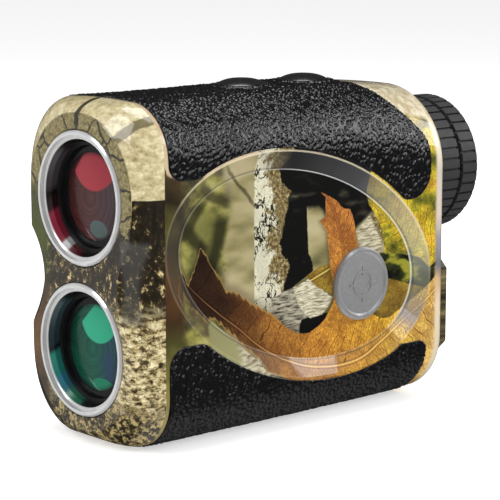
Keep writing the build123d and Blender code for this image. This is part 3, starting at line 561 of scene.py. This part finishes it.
def great_leaf(s, col):
    """The great leaf sweeping along the bottom, and the bark chips under it."""
    g = s.g
    top = [(-42.6, 33.6), (-41.4, 37.6), (-40.6, 38.8), (-38.9, 35.8), (-37.2, 38.6),
           (-35.4, 43.2), (-33.4, 40.0), (-30.5, 36.0), (-28.6, 33.2), (-25.0, 31.8),
           (-20.0, 28.6), (-15.0, 25.6), (-12.0, 22.8), (-8.5, 20.8), (-5.0, 20.3), (-2.0, 21.5),
           (0.0, 22.8), (2.6, 26.5), (4.0, 29.0), (8, 29), (14.5, 22.0), (17.0, 20.6),
           (20.0, 20.4), (24.0, 22.3), (28.0, 24.6), (33.0, 28.5), (36.0, 31.0)]
    low = [(-42.6, 33.4), (-41.2, 30.4), (-40.5, 33.6), (-39.2, 31.6), (-38.5, 29.8),
           (-36.6, 28.8), (-34.0, 26.2), (-32.6, 27.2), (-30.0, 25.2), (-25.0, 21.0),
           (-20.0, 16.6), (-17.5, 13.4), (-14.0, 12.2), (-10.0, 10.4), (-5.0, 8.8), (5.0, 4.0),
           (36.0, -10.0)]
    midrib = [(-42, 38.5), (-40, 36.2), (-36, 32.4), (-30, 27.6), (-25, 24.0), (-20, 20.0),
              (-15, 16.9), (-10, 14.6), (-5, 13.0), (0, 12.2), (5, 12.0), (10, 12.6), (16, 15.0),
              (24, 19.5), (34, 26)]
    low_line = g.curve(s.y, low)
    inside_low = s.z - low_line
    inside = g.minimum(g.curve(s.y, top) - s.z, inside_low)
    teeth = g.math("ABSOLUTE", g.math("PINGPONG", g.y + g.z * 0.4, 1.3) - 0.65)
    torn = s.past(-14.0, -22.0) * (teeth * 0.9 + (g.noise(g.p, 0.5, 3.0) - 0.5) * 1.6)
    tone = g.ramp((g.y + s.soft * 10 - LEAF_START) / LEAF_RUN, [
        (0.0, (0.34, 0.18, 0.04)), (0.04, (0.05, 0.022, 0.008)), (0.15, (0.08, 0.036, 0.010)),
        (0.25, (0.24, 0.115, 0.025)), (0.36, (0.54, 0.28, 0.045)), (0.52, (0.72, 0.38, 0.05)),
        (0.66, (0.84, 0.50, 0.05)), (0.80, (0.96, 0.66, 0.06)), (1.0, (0.98, 0.76, 0.30))])
    stem = g.ramp((g.y - LEAF_START) / LEAF_RUN, [
        (0.0, (0.10, 0.05, 0.02)), (0.25, (0.34, 0.17, 0.06)), (0.45, (0.72, 0.46, 0.16)),
        (0.8, (0.80, 0.55, 0.16))])
    skin = leaf_skin(g, g.y * -1.0, g.z - g.curve(g.y, midrib, True), tone, stem, 5.6, 0.55)
    lit = g.step(inside_low, 3.2, 0.3) * s.past(-12, 2)
    skin = g.mix(lit * 0.5, skin, (0.80, 0.56, 0.20))
    shadow = g.step(inside, -2.6, 0.0)
    col = g.mix(shadow * 0.5, col, g.mix(1.0, col, (0.25, 0.2, 0.15), "MULTIPLY"))
    curl = g.step(inside - torn, 0.75, 0.05) * s.past(-8.0, -20.0)
    skin = g.mix(curl * 0.55, skin, (0.62, 0.42, 0.13))
    col = g.mix(g.step(inside - torn, -0.1, 0.12), col, skin)
    under = g.step(low_line - s.z, 0.25, 0.6) * s.past(-34.5, -33.5) * s.past(-12, -14)
    chips = striped(g, s.flat, (-38, 0, 0), (0.62, 0.58, 0.42), (0.16, 0.12, 0.07), 1.2)
    return g.mix(under, col, g.mix(s.past(-24, -27), chips, (0.34, 0.34, 0.16)))


def rear_edge(s, col):
    """The pale rear edge of the shell, print colours with a painted highlight along the rounded edge,
    and the cream top behind the grip.
    """
    g = s.g
    # Painted highlight along the rounded rear edge, in the print colours there.
    rear_print_and_highlight = g.ramp((g.z + s.soft * 8) / BODY_HIGH, [
        (0.0, (0.66, 0.60, 0.48)), (0.30, (0.74, 0.62, 0.46)), (0.38, (0.62, 0.44, 0.26)),
        (0.42, (0.22, 0.21, 0.24)), (0.52, (0.36, 0.34, 0.36)), (0.58, (0.66, 0.58, 0.50)),
        (0.72, (0.62, 0.55, 0.48)), (0.80, (0.80, 0.72, 0.56)), (1.0, (0.74, 0.66, 0.50))])
    col = g.mix(s.past(32.4, 33.6), col, rear_print_and_highlight)
    top_col = g.mix(g.step(g.noise(g.p, 0.5, 5.0, 0.7), 0.36, 0.62), (0.56, 0.47, 0.30),
                    (0.82, 0.76, 0.60))
    veins = fissures(g, g.vec(g.x, g.y, g.z), 0.22, 0.007, 3.0)
    top_col = g.mix(veins * 0.5, top_col, (0.36, 0.28, 0.16))
    cream_top = g.step(g.z + (s.y - 18.0) * 0.2, 66.5, 68.0) * s.past(10, 14)
    return g.mix(cream_top, col, top_col)


def button_gap_shade(s, col):
    """Black painted shade round each button, where the shell shows in the gap."""
    g = s.g
    for well_y in BUTTON_PLACES_Y:
        away = g.math("SQRT", g.x * g.x + (g.y - well_y) * (g.y - well_y))
        inside = g.step(away, WELL_RADIUS + 0.1, WELL_RADIUS - 0.1)
        col = g.mix(inside * g.step(g.z, 60.0, 61.0), col, BLACK)
    return col


def rear_face(s, col):
    """Mottled bark on the rear cover, its bulge and the battery door, with a painted highlight on the
    cover's rounded edge.
    """
    g = s.g
    mottle = g.noise(g.warp(g.vec(g.x, 0.0, g.z), 0.5, 1.5), 0.5, 6.0, 0.74)
    bark = g.ramp(mottle, [(0.34, (0.010, 0.008, 0.005)), (0.46, (0.07, 0.055, 0.025)),
                           (0.56, (0.20, 0.165, 0.08)), (0.70, (0.46, 0.40, 0.24))])
    middle = g.step(g.math("ABSOLUTE", g.x), 12.0, 11.5)
    bark = g.mix(g.step(g.z, 33.5, 34.5) * middle, bark, (0.13, 0.13, 0.15))
    pale = g.ramp(mottle, [(0.34, (0.20, 0.15, 0.07)), (0.46, (0.50, 0.42, 0.24)),
                           (0.58, (0.72, 0.63, 0.42)), (0.72, (0.86, 0.80, 0.62))])
    bark = g.mix(g.step(g.z + s.soft * 18.0, 36.0, 39.5), bark, pale)
    # Painted highlight: a paler strip on the rounded edge of the rear cover.
    col = g.mix(s.past(35.0, 35.8), col, g.mix(0.55, col, pale))
    return g.mix(s.past(36.4, 36.9), col, bark)


def forest_print_and_painted_light(g):
    """The side print, layer over layer from the ground up, with painted reflections and highlights on
    the oval rim, painted shade round the buttons and a painted highlight on the rear edge.
    """
    s = SidePrint(g)
    col = blurred_ground(s)
    for layer in (twigs, front_edge, trunk_and_canopy, birch_trunk, green_leaf, small_leaf,
                  standing_lobe, great_leaf):
        col = layer(s, col)
    col = smoky_rim_and_painted_reflections(g, col)
    for layer in (rear_edge, button_gap_shade, rear_face):
        col = layer(s, col)
    return col


def bezel_upper(g, flat, chamfer, jitter, speck):
    """Khaki bark of the upper face and cream bark on its chamfer; returns khaki too."""
    khaki = g.ramp(speck, [(0.30, (0.055, 0.045, 0.018)), (0.44, (0.20, 0.165, 0.07)),
                           (0.56, (0.34, 0.29, 0.14)), (0.74, (0.50, 0.44, 0.25))])
    crack = g.cells(g.warp(flat, 0.4, 1.8, 3.0), 0.16)
    khaki = g.mix(g.step(crack, 0.055, 0.012), khaki, (0.035, 0.028, 0.012))
    cream = g.ramp(g.noise(g.mapped(flat, turn=(0, 35, 0), scale=(0.8, 1, 1.3)), 0.6, 6.0, 0.74),
                   [(0.32, (0.36, 0.29, 0.14)), (0.46, (0.58, 0.50, 0.30)),
                    (0.60, (0.76, 0.69, 0.46)), (0.74, (0.90, 0.86, 0.68))])
    right = g.step(g.x, 0.0, 2.0)
    slope = g.z - 67.0 - (g.x - 14.0) * 0.9 + jitter * 1.4
    band = g.step(g.math("ABSOLUTE", slope), 1.7, 1.2)
    cream = g.mix(band * 0.85 * right, cream, (0.16, 0.13, 0.05))
    notch = g.step(g.math("ABSOLUTE", g.x + 0.5 + jitter * 0.8), 0.9, 0.6) * g.step(g.z, 66.5, 68)
    upper = g.mix(chamfer, khaki, cream)
    return g.mix(notch * 0.9, upper, (0.03, 0.024, 0.012)), khaki


def bezel_lower(g, flat, jitter):
    """Gold-flecked dark bark at mid height, pale bark under it and a dark base."""
    fleck = g.noise(g.mapped(flat, scale=(1, 1, 0.7)), 0.75, 6.0, 0.78)
    fleck = fleck + g.step(g.z + g.x * 0.25, 52.0, 36.0) * 0.05
    dark = g.ramp(fleck, [(0.30, (0.008, 0.006, 0.003)), (0.52, (0.038, 0.027, 0.012)),
                          (0.60, (0.080, 0.056, 0.022)), (0.635, (0.46, 0.36, 0.16)),
                          (0.70, (0.80, 0.70, 0.42))])
    grained = g.mapped(g.warp(flat, 0.6, 1.2), turn=(0, 28, 0), scale=(0.8, 1, 1.7))
    pale = g.ramp(g.noise(grained, 0.62, 7.0, 0.74), [
        (0.38, (0.030, 0.020, 0.007)), (0.455, (0.22, 0.16, 0.06)), (0.51, (0.56, 0.47, 0.25)),
        (0.62, (0.88, 0.80, 0.56))])
    pale = g.mix(fissures(g, flat, 0.22, 0.010) * 0.8, pale, (0.03, 0.02, 0.008))
    height = g.z + jitter * 4.0
    lower = g.mix(g.step(height, 33.0, 27.0), dark, pale)
    base_dark = g.mix(g.step(g.noise(flat, 0.8, 5.0, 0.75), 0.46, 0.60), (0.035, 0.024, 0.010),
                      (0.52, 0.42, 0.20))
    return g.mix(g.step(height, 13.0, 7.0), lower, base_dark)


def bezel_flank(g, jitter, speck, khaki):
    """Left flank: green blur above, orange-brown below, all darkened as painted shade."""
    flank_col = g.ramp((g.z + jitter * 12) / BODY_HIGH, [
        (0.0, (0.20, 0.14, 0.06)), (0.14, (0.09, 0.055, 0.02)), (0.26, (0.34, 0.17, 0.03)),
        (0.42, (0.16, 0.08, 0.012)), (0.50, (0.10, 0.12, 0.012)), (0.60, (0.17, 0.20, 0.02)),
        (0.72, (0.14, 0.15, 0.03)), (0.76, (0.30, 0.25, 0.11)), (1.0, (0.34, 0.29, 0.14))])
    flank_col = g.mix(g.step(speck, 0.45, 0.7) * 0.4, flank_col, khaki)
    # Painted shade: the whole flank darkened.
    return g.mix(1.0, flank_col, (0.55, 0.55, 0.5), "MULTIPLY")


def bezel_print_and_painted_light(g):
    """Bark print of the front bezel: face, chamfer and waist, with painted shade on the left flank
    and a painted grey sheen over the waist.
    """
    flat = g.vec(g.x, g.y * 0.9, g.z)
    jitter = g.noise(g.p, 0.35, 4.0, 0.65) - 0.5
    depth = g.y - BEZEL_FACE_Y
    chamfer = g.step(depth, 0.10, 0.30)
    speck = g.noise(flat, 1.15, 6.0, 0.75)
    upper, khaki = bezel_upper(g, flat, chamfer, jitter, speck)
    split = g.step(g.z - 53.8 - (1.0 - chamfer) * (jitter * 10 - 6.0), -0.12, 0.12)
    col = g.mix(split, bezel_lower(g, flat, jitter), upper)
    flank = g.step(g.x - jitter * 2.0, -9.0, -13.0) * g.step(g.z, 55.0, 53.0)
    col = g.mix(flank, col, bezel_flank(g, jitter, speck, khaki))
    # Painted sheen: a grey veil over the scalloped waist between the lens bulges.
    waist = g.step(g.math("ABSOLUTE", g.z - 36.5), 9.5, 8.0) * g.step(g.x, 13.2, 14.4) \
        * g.step(depth, 3.4, 2.2)
    return g.mix(waist * 0.55, col, (0.13, 0.13, 0.125))


def gloss_print(name, painter):
    """A print, with whatever painted light its painter adds, under clear gloss, with slight orange
    peel.
    """
    g = Graph(name)
    deep = g.t.nodes.new("ShaderNodeGamma")
    deep.inputs[1].default_value = PRINT_GAMMA
    g.t.links.new(painter(g).s, deep.inputs[0])
    col = Sock(g, deep.outputs[0])
    peel = g.bump(g.noise(g.p, 0.9, 1.0), 0.006)
    return g.finish(col, 0.32, peel, coat=1.0, coat_rough=0.035, spec=0.4)


# ---------------------------------------------------------------- plain finishes, and lenses and rings with painted reflections
RING_WALL_RADIUS = 12.35


def leather():
    """Glossy black rubber with fine pores between the modelled wrinkles."""
    g = Graph("leather_grain_rubber")
    pores = g.noise(g.p, 3.0, 3.0, 0.6)
    tone = g.ramp(pores, [(0.3, (0.0015, 0.0015, 0.002)), (0.7, (0.007, 0.007, 0.008))])
    rough = g.ramp(g.noise(g.p, 0.8, 3.0), [(0.35, grey(0.15)), (0.65, grey(0.22))])
    return g.finish(tone, rough, g.bump(pores, 0.035), spec=0.55)


def chrome(name, axis_z, glints):
    """Bright ring whose inner wall is black, with painted (degrees, colour) glints round it."""
    g = Graph(name)
    lathe = g.noise(g.vec(g.y * 6.0, g.x * 0.05, g.z * 0.05), 1.0, 3.0)
    h = g.z - axis_z
    r = g.math("SQRT", g.x * g.x + h * h)
    wall = g.step(r, RING_WALL_RADIUS + 0.1, RING_WALL_RADIUS - 0.1)
    # Painted reflections on the inner wall, set by angle round the axis.
    turn = g.math("ARCTAN2", h, g.x) / (2 * math.pi) + (g.y + 50.0) * 0.006
    turn = g.math("FRACT", turn + 1.0)
    stops = [(degrees / 360.0, colour) for degrees, colour in glints]
    glow = g.ramp(turn, [(0.0, BLACK)] + stops + [(0.99, BLACK)])
    tone = g.ramp(g.noise(g.p, 0.3, 3.0), [(0.3, grey(0.80)), (0.7, (0.90, 0.90, 0.89))])
    rough = g.ramp(lathe, [(0.3, grey(0.14)), (0.7, grey(0.22))])
    return g.finish(g.mix(wall, tone, glow), rough, g.bump(lathe, 0.002), metal=(1.0 - wall) * 0.55)


def coated_lens_painted_reflections(name, axis_z, base, patch, patch_spot, cut, glints):
    """Dark coated glass with painted light: painted shading from left to right, a painted window
    reflection and painted glints off its curved faces.

    A spot is (x, z, half width, half height) from the axis; cut is the line that trims the painted
    reflection, as a point (x, z) and a direction. Each glint is a spot and its colour.
    """
    g = Graph(name)
    h = g.z - axis_z
    r = g.math("SQRT", g.x * g.x + h * h)

    def inside(cx, cz, rx, rz, soft=0.05):
        dx = (g.x - cx) / rx
        dz = (h - cz) / rz
        return g.step(g.math("SQRT", dx * dx + dz * dz), 1.0 + soft, 1.0 - soft)

    # Coating tint with painted shading, dark at the left and lighter at the right.
    col = g.ramp((g.x + g.noise(g.p, 0.12, 1.0) * 1.5 + 9.0) / 16.0, base)
    # Painted reflection arcs: darker rings round the axis.
    rings = g.noise(g.vec(r * 0.9 + g.x * 0.25, 0.0, 0.0), 1.0, 1.0)
    col = g.mix(g.step(rings, 0.40, 0.60) * 0.45, col, g.mix(1.0, col, grey(0.45), "MULTIPLY"))
    # Painted reflection of a window, trimmed by the cut line and dimmer towards the upper right.
    cut_x, cut_z, across, along = cut
    edge = (g.x - cut_x) * across - (h - cut_z) * along
    window = inside(*patch_spot, 0.03) * g.step(edge, -0.15, 0.15)
    fade = g.step(g.z + g.x, axis_z, axis_z + 12.0) * 0.4
    col = g.mix(window, col, g.mix(fade, patch, scaled(patch, 0.6)))
    # Painted glints.
    for spot, tint in glints:
        col = g.mix(inside(*spot) * 0.9, col, tint)
    rim = g.step(r, 9.15, 9.35)
    # Painted shade darkening the glass towards the rim.
    col = g.mix(g.step(r, 8.3, 9.2) * 0.55, col, (0.006, 0.004, 0.004))
    return g.finish(g.mix(rim, col, (0.004, 0.004, 0.0045)), 0.08,
                    g.bump(g.noise(g.p, 0.3, 1.0), 0.002), spec=0.35)


def plastic(name, colour, rough_low, rough_high, grain=0.012, spec=0.5, coat=0.0):
    """Moulded plastic or rubber: faint mottle, patchy roughness and fine grain."""
    g = Graph(name)
    n = g.noise(g.p, 2.4, 4.0, 0.6)
    tone = g.ramp(n, [(0.3, scaled(colour, 0.75)), (0.7, colour)])
    rough = g.ramp(g.noise(g.p, 0.6, 3.0), [(0.3, grey(rough_low)), (0.7, grey(rough_high))])
    return g.finish(tone, rough, g.bump(g.noise(g.p, 6.0, 2.0), grain), spec=spec, coat=coat)


def metal(name, colour, rough_low, rough_high, shine=1.0):
    """Bare or plated metal with a cloudy surface."""
    g = Graph(name)
    n = g.noise(g.p, 1.5, 4.0, 0.6)
    tone = g.ramp(n, [(0.3, scaled(colour, 0.86)), (0.7, colour)])
    rough = g.ramp(n, [(0.3, grey(rough_low)), (0.7, grey(rough_high))])
    return g.finish(tone, rough, g.bump(n, 0.004), metal=shine)


def clear_glass(name, deep, bright):
    """Plain optical glass of the inner train, seen only with the housing off."""
    g = Graph(name)
    smear = g.noise(g.p, 0.25, 2.0)
    tint = g.mix(g.step(smear, 0.3, 0.7), deep, bright)
    rough = g.ramp(smear, [(0.3, grey(0.02)), (0.7, grey(0.05))])
    return g.finish(tint, rough, g.bump(smear, 0.001), trans=0.75, spec=0.6)


AXIS_UPPER = 52.4
AXIS_LOWER = 20.3
shell_print_and_painted_light = gloss_print("forest_print_and_painted_light", forest_print_and_painted_light)
grip_leather = leather()
# Painted reflections on the inner walls of the lens rings: (degrees round the axis, colour).
RED_GLINTS = (
    (120, BLACK), (135, (0.045, 0.04, 0.045)), (172, (0.05, 0.04, 0.045)), (180, BLACK),
    (196, (0.03, 0.006, 0.01)), (200, (0.26, 0.022, 0.045)), (232, (0.22, 0.018, 0.035)),
    (235, (0.50, 0.50, 0.50)), (243, (0.40, 0.40, 0.42)), (246, (0.10, 0.010, 0.015)),
    (262, (0.05, 0.006, 0.01)), (266, BLACK))
GREEN_GLINTS = (
    (120, BLACK), (132, (0.03, 0.055, 0.06)), (182, (0.02, 0.035, 0.04)), (188, BLACK),
    (193, (0.02, 0.22, 0.17)), (214, (0.02, 0.19, 0.16)), (218, (0.03, 0.17, 0.25)),
    (234, (0.02, 0.13, 0.16)), (240, (0.01, 0.17, 0.09)), (258, (0.008, 0.10, 0.05)),
    (264, BLACK))
finishes = (
    (shell_print_and_painted_light, ("body_shell", "rear_cover", "battery_door")),
    (gloss_print("bark_print_and_painted_light", bezel_print_and_painted_light), ("front_bezel",)),
    (grip_leather, ("upper_grip", "lower_grip")),
    (chrome("bright_chrome_upper", AXIS_UPPER, RED_GLINTS), ("upper_lens_ring",)),
    (chrome("bright_chrome_lower", AXIS_LOWER, GREEN_GLINTS), ("lower_lens_ring",)),
    (plastic("button_gloss_black", (0.012, 0.012, 0.013), 0.16, 0.24, 0.004, 0.6, 0.4),
     ("fire_button", "mode_button")),
    (metal("satin_badge", (0.50, 0.50, 0.51), 0.28, 0.36, 0.62), ("badge_right", "badge_left")),
    (plastic("barrel_black", (0.010, 0.010, 0.011), 0.35, 0.5),
     ("upper_barrel", "lower_barrel", "upper_lens_retainer", "lower_lens_retainer",
      "eyepiece_tube", "display_holder", "receiver_housing", "battery_tube", "ocular_cell",
      "ocular_retainer")),
    (clear_glass("clear_optics", (0.70, 0.76, 0.78), (0.80, 0.84, 0.86)),
     ("focusing_lens", "half_penta_prism", "roof_prism", "reticle_display", "field_lens",
      "receiver_filter")),
    (plastic("eye_coating", (0.008, 0.010, 0.022), 0.03, 0.06, 0.0005, 0.8), ("eye_lens",)),
    (plastic("eyecup_rubber", (0.030, 0.030, 0.032), 0.50, 0.64, 0.03),
     ("diopter_ring", "eyecup", "eyepiece_seal")),
    (metal("blasted_aluminium", (0.55, 0.55, 0.56), 0.35, 0.5), ("chassis", "prism_frame")),
    (plastic("board_green", (0.03, 0.16, 0.07), 0.3, 0.45),
     ("main_board", "button_board", "receiver_board")),
    (plastic("chip_black", (0.02, 0.02, 0.02), 0.4, 0.6),
     ("processor", "timing_chips", "fire_switch", "mode_switch", "storage_capacitors")),
    (metal("plain_steel", (0.6, 0.6, 0.6), 0.25, 0.4),
     ("board_screws", "button_board_screws", "rear_cover_screws", "door_pin", "cam_pins",
      "prism_clip", "receiver_shield")),
    (metal("plated_brass", (0.75, 0.6, 0.3), 0.2, 0.35),
     ("laser_emitter", "photodiode", "battery_contact", "door_contact")),
    (plastic("ribbon_amber", (0.5, 0.25, 0.05), 0.25, 0.4), ("ribbon_cable",)),
    (plastic("cell_wrap", (0.08, 0.08, 0.09), 0.2, 0.3), ("battery",)),
)
for material, names in finishes:
    for name in names:
        nodes[name].data.materials.clear()
        nodes[name].data.materials.append(material)


# ---------------------------------------------------------------- modelled pieces
def new_piece(name, mesh, material, node, body="housing"):
    """Puts a mesh in the scene in place of a CAD node."""
    o = bpy.data.objects.new(name, mesh)
    bpy.context.scene.collection.objects.link(o)
    mesh.materials.clear()
    mesh.materials.append(material)
    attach(o, body)
    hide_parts(node)


def lathe_mesh(name, axis_z, profile, segments=160):
    """Closed surface turned about a line parallel to Y; profile is (radius, y) in mm."""
    bm = bmesh.new()
    rings = []
    for radius, y in profile:
        if radius == 0.0:
            rings.append([bm.verts.new((0.0, y * MM, axis_z * MM))])
            continue
        rings.append([bm.verts.new((radius * MM * math.cos(a), y * MM,
                                    axis_z * MM + radius * MM * math.sin(a)))
                      for a in (2 * math.pi * i / segments for i in range(segments))])
    for a, b in zip(rings, rings[1:]):
        for i in range(segments):
            j = (i + 1) % segments
            quad = [a[i % len(a)], a[j % len(a)], b[j % len(b)], b[i % len(b)]]
            bm.faces.new(list(dict.fromkeys(quad)))
    bmesh.ops.recalc_face_normals(bm, faces=bm.faces)
    mesh = bpy.data.meshes.new(name)
    bm.to_mesh(mesh)
    bm.free()
    mesh.shade_smooth()
    mesh.set_sharp_from_angle(angle=math.radians(25))
    return mesh


DOME_STEPS = 14
DOME_RADIUS = 9.35
DOME_SAG = 0.62
DOME_FRONT_Y = -48.88
LENS_BACK_Y = -45.1
LENS_RADIUS = 11.45
dome = [(DOME_RADIUS * i / DOME_STEPS, DOME_FRONT_Y + DOME_SAG * (i / DOME_STEPS) ** 2)
        for i in range(DOME_STEPS + 1)]
lens_profile = dome + [(9.4, -48.42), (10.2, -48.46), (10.8, -48.36), (10.84, -48.1),
                       (LENS_RADIUS, -48.05), (LENS_RADIUS, LENS_BACK_Y), (8.0, LENS_BACK_Y),
                       (0.0, LENS_BACK_Y)]
# Each lens: coating tint with painted shading as (place, colour) stops, the painted reflection's
# colour, its spot, the line that trims it, and painted glints.
new_piece("upper_coated_lens", lathe_mesh("upper_coated_lens", AXIS_UPPER, lens_profile),
          coated_lens_painted_reflections("red_coating_painted_reflections", AXIS_UPPER,
                      [(0.0, (0.016, 0.006, 0.006)), (0.25, (0.050, 0.016, 0.014)),
                       (0.55, (0.075, 0.030, 0.030)), (0.9, (0.060, 0.038, 0.042))],
                      (0.30, 0.036, 0.048), (0.5, 9.0, 7.9, 7.7), (-6.9, 4.1, 0.785, 0.62),
                      (((1.8, -6.7, 2.9, 1.9), (0.07, 0.105, 0.10)),
                       ((-2.6, -9.3, 3.0, 0.9), (0.12, 0.012, 0.018)))),
          "upper_objective")
new_piece("lower_coated_lens", lathe_mesh("lower_coated_lens", AXIS_LOWER, lens_profile),
          coated_lens_painted_reflections("green_coating_painted_reflections", AXIS_LOWER,
                      [(0.0, (0.004, 0.020, 0.012)), (0.3, (0.006, 0.060, 0.034)),
                       (0.6, (0.008, 0.085, 0.054)), (0.9, (0.018, 0.055, 0.070))],
                      (0.030, 0.34, 0.20), (1.5, 7.4, 6.3, 6.2), (-4.6, 4.6, 0.707, 0.707),
                      (((2.6, -8.0, 3.6, 1.7), (0.010, 0.19, 0.10)),
                       ((5.0, -3.4, 1.6, 3.2), (0.018, 0.045, 0.085)))),
          "lower_objective")


def wrinkled(node):
    """The CAD grip remeshed finely, its outer skin pressed into leather wrinkles."""
    source = nodes[node]
    o = bpy.data.objects.new(node + "_work", source.data.copy())
    bpy.context.scene.collection.objects.link(o)
    m = o.modifiers.new("voxels", "REMESH")
    m.mode = "VOXEL"
    m.voxel_size = GRAIN_VOXEL * MM
    smooth = o.modifiers.new("ease", "SMOOTH")
    smooth.factor = 0.5
    smooth.iterations = 2
    mesh = bpy.data.meshes.new_from_object(o.evaluated_get(bpy.context.evaluated_depsgraph_get()))
    bpy.data.objects.remove(o)
    count = len(mesh.vertices)
    co = np.empty(count * 3, dtype=np.float32)
    no = np.empty(count * 3, dtype=np.float32)
    mesh.vertices.foreach_get("co", co)
    mesh.vertex_normals.foreach_get("vector", no)
    co = co.reshape(-1, 3).astype(float)
    no = no.reshape(-1, 3).astype(float)
    turn = np.array(Euler([math.radians(a) for a in GRAIN_TURN]).to_matrix())
    cells = (co / MM) @ turn.T * np.array(GRAIN_SCALE) / GRAIN_CELL
    centre = np.column_stack((np.zeros(count), co[:, 1], np.full(count, HEART_Z * MM)))
    outward = np.einsum("ij,ij->i", co - centre, no)
    depth = np.zeros(count)
    for i in np.nonzero(outward > 0.0)[0]:
        q = Vector(cells[i])
        q += noise.noise_vector(q * GRAIN_DRIFT_SCALE) * GRAIN_DRIFT
        near = noise.voronoi(q)[0]
        valley = min(1.0, (near[1] - near[0]) / VALLEY_WIDTH)
        ease = valley * valley * (3.0 - 2.0 * valley)
        depth[i] = 1.0 - ease
    depth = np.clip(depth, 0.0, 1.0) * GRAIN_DEPTH * MM
    co -= no * depth[:, None]
    mesh.vertices.foreach_set("co", co.astype(np.float32).ravel())
    mesh.update()
    mesh.shade_smooth()
    return mesh


noise.seed_set(GRAIN_SEED)
for node in ("upper_grip", "lower_grip"):
    new_piece(node + "_leather", wrinkled(node), grip_leather, node)


# ---------------------------------------------------------------- stage
def emitter(name, centre, target, width, height, power):
    """Soft rectangular studio light."""
    data = bpy.data.lights.new(name, "AREA")
    data.shape = "RECTANGLE"
    data.size = width
    data.size_y = height
    data.energy = power
    o = bpy.data.objects.new(name, data)
    bpy.context.scene.collection.objects.link(o)
    o.location = centre
    o.rotation_euler = (Vector(target) - Vector(centre)).to_track_quat("-Z", "Y").to_euler()


bpy.ops.mesh.primitive_plane_add(size=6.0, location=(0, 0, 0))
floor = bpy.context.object
floor.name = "floor"
g = Graph("studio_floor")
floor_tone = g.ramp(g.noise(g.p, 0.002, 2.0), [(0.3, grey(0.88)), (0.7, grey(0.90))])
g.finish(floor_tone, 0.8, spec=0.0, glow=0.52)
floor.data.materials.append(g.mat)
floor.visible_glossy = False

AZIMUTH = math.radians(48.76)
ELEVATION = math.radians(9.85)
DISTANCE = 0.45244
TARGET = Vector((0.0, -0.00575, 0.0366))
SENSOR_MM = 36.0
LENS_MM = 145.92888
LENS_SHIFT_X = 0.00524
LENS_SHIFT_Y = -0.0033
back = Vector((math.sin(AZIMUTH) * math.cos(ELEVATION), -math.cos(AZIMUTH) * math.cos(ELEVATION),
               math.sin(ELEVATION)))
side = Vector((math.cos(AZIMUTH), math.sin(AZIMUTH), 0.0))


# direction, cosines where a glow starts and is full, and its strength
MIRROR_GLOWS = (((-0.75, -0.62, 0.10), 0.60, 0.92, 0.34), ((-0.1, -0.35, 1.0), 0.80, 0.98, 0.22),
                ((0.9, -0.2, 0.35), 0.86, 0.96, 0.35), ((0.35, 0.1, -0.93), 0.70, 0.95, 0.5))
AMBIENT = 0.42
DIM = 0.04


def studio_world():
    """White backdrop; dim, uneven surroundings for everything that mirrors them."""
    world = bpy.data.worlds.new("studio")
    bpy.context.scene.world = world
    world.use_nodes = True
    t = world.node_tree
    path = t.nodes.new("ShaderNodeLightPath")
    coord = t.nodes.new("ShaderNodeTexCoord")

    def sums(op, a, b):
        n = t.nodes.new("ShaderNodeMath")
        n.operation = op
        for i, v in enumerate((a, b)):
            if isinstance(v, float):
                n.inputs[i].default_value = v
            else:
                t.links.new(v, n.inputs[i])
        return n.outputs[0]

    level = DIM
    for direction, low, high, glow in MIRROR_GLOWS:
        dot = t.nodes.new("ShaderNodeVectorMath")
        dot.operation = "DOT_PRODUCT"
        t.links.new(coord.outputs["Generated"], dot.inputs[0])
        dot.inputs[1].default_value = Vector(direction).normalized()
        ease = t.nodes.new("ShaderNodeMapRange")
        ease.interpolation_type = "SMOOTHSTEP"
        t.links.new(dot.outputs["Value"], ease.inputs[0])
        ease.inputs[1].default_value = low
        ease.inputs[2].default_value = high
        level = sums("ADD", sums("MULTIPLY", ease.outputs[0], glow), level)
    glossy = path.outputs["Is Glossy Ray"]
    seen = path.outputs["Is Camera Ray"]
    rest = sums("SUBTRACT", sums("SUBTRACT", 1.0, glossy), seen)
    mirrored = sums("MULTIPLY", glossy, level)
    scattered = sums("MULTIPLY", rest, AMBIENT)
    total = sums("ADD", sums("ADD", mirrored, scattered), seen)
    t.links.new(total, t.nodes["Background"].inputs[1])
    t.nodes["Background"].inputs[0].default_value = (1.0, 1.0, 1.0, 1.0)


studio_world()

key_place = TARGET + back * 0.25 - side * 0.55 + Vector((0, 0, 0.45))
fill_place = TARGET + back * 0.35 + side * 0.50 + Vector((0, 0, 0.25))
emitter("key_left", key_place, TARGET, 0.35, 0.5, 2.3)
emitter("fill_right", fill_place, TARGET, 0.3, 0.5, 1.1)
emitter("rim_right", TARGET + Vector((0.30, 0.50, 0.28)), TARGET, 0.35, 0.30, 1.3)
emitter("top", TARGET + Vector((-0.05, 0.05, 0.6)), TARGET, 0.5, 0.4, 2.4)

cam_data = bpy.data.cameras.new("camera")
cam_data.sensor_width = SENSOR_MM
cam_data.lens = LENS_MM
cam_data.shift_x = LENS_SHIFT_X
cam_data.shift_y = LENS_SHIFT_Y
cam_data.clip_start = 0.01
cam = bpy.data.objects.new("camera", cam_data)
bpy.context.scene.collection.objects.link(cam)
cam.location = TARGET + back * DISTANCE
cam.rotation_euler = (-back).to_track_quat("-Z", "Y").to_euler()
bpy.context.scene.camera = cam
bpy.context.scene.view_settings.view_transform = "Standard"
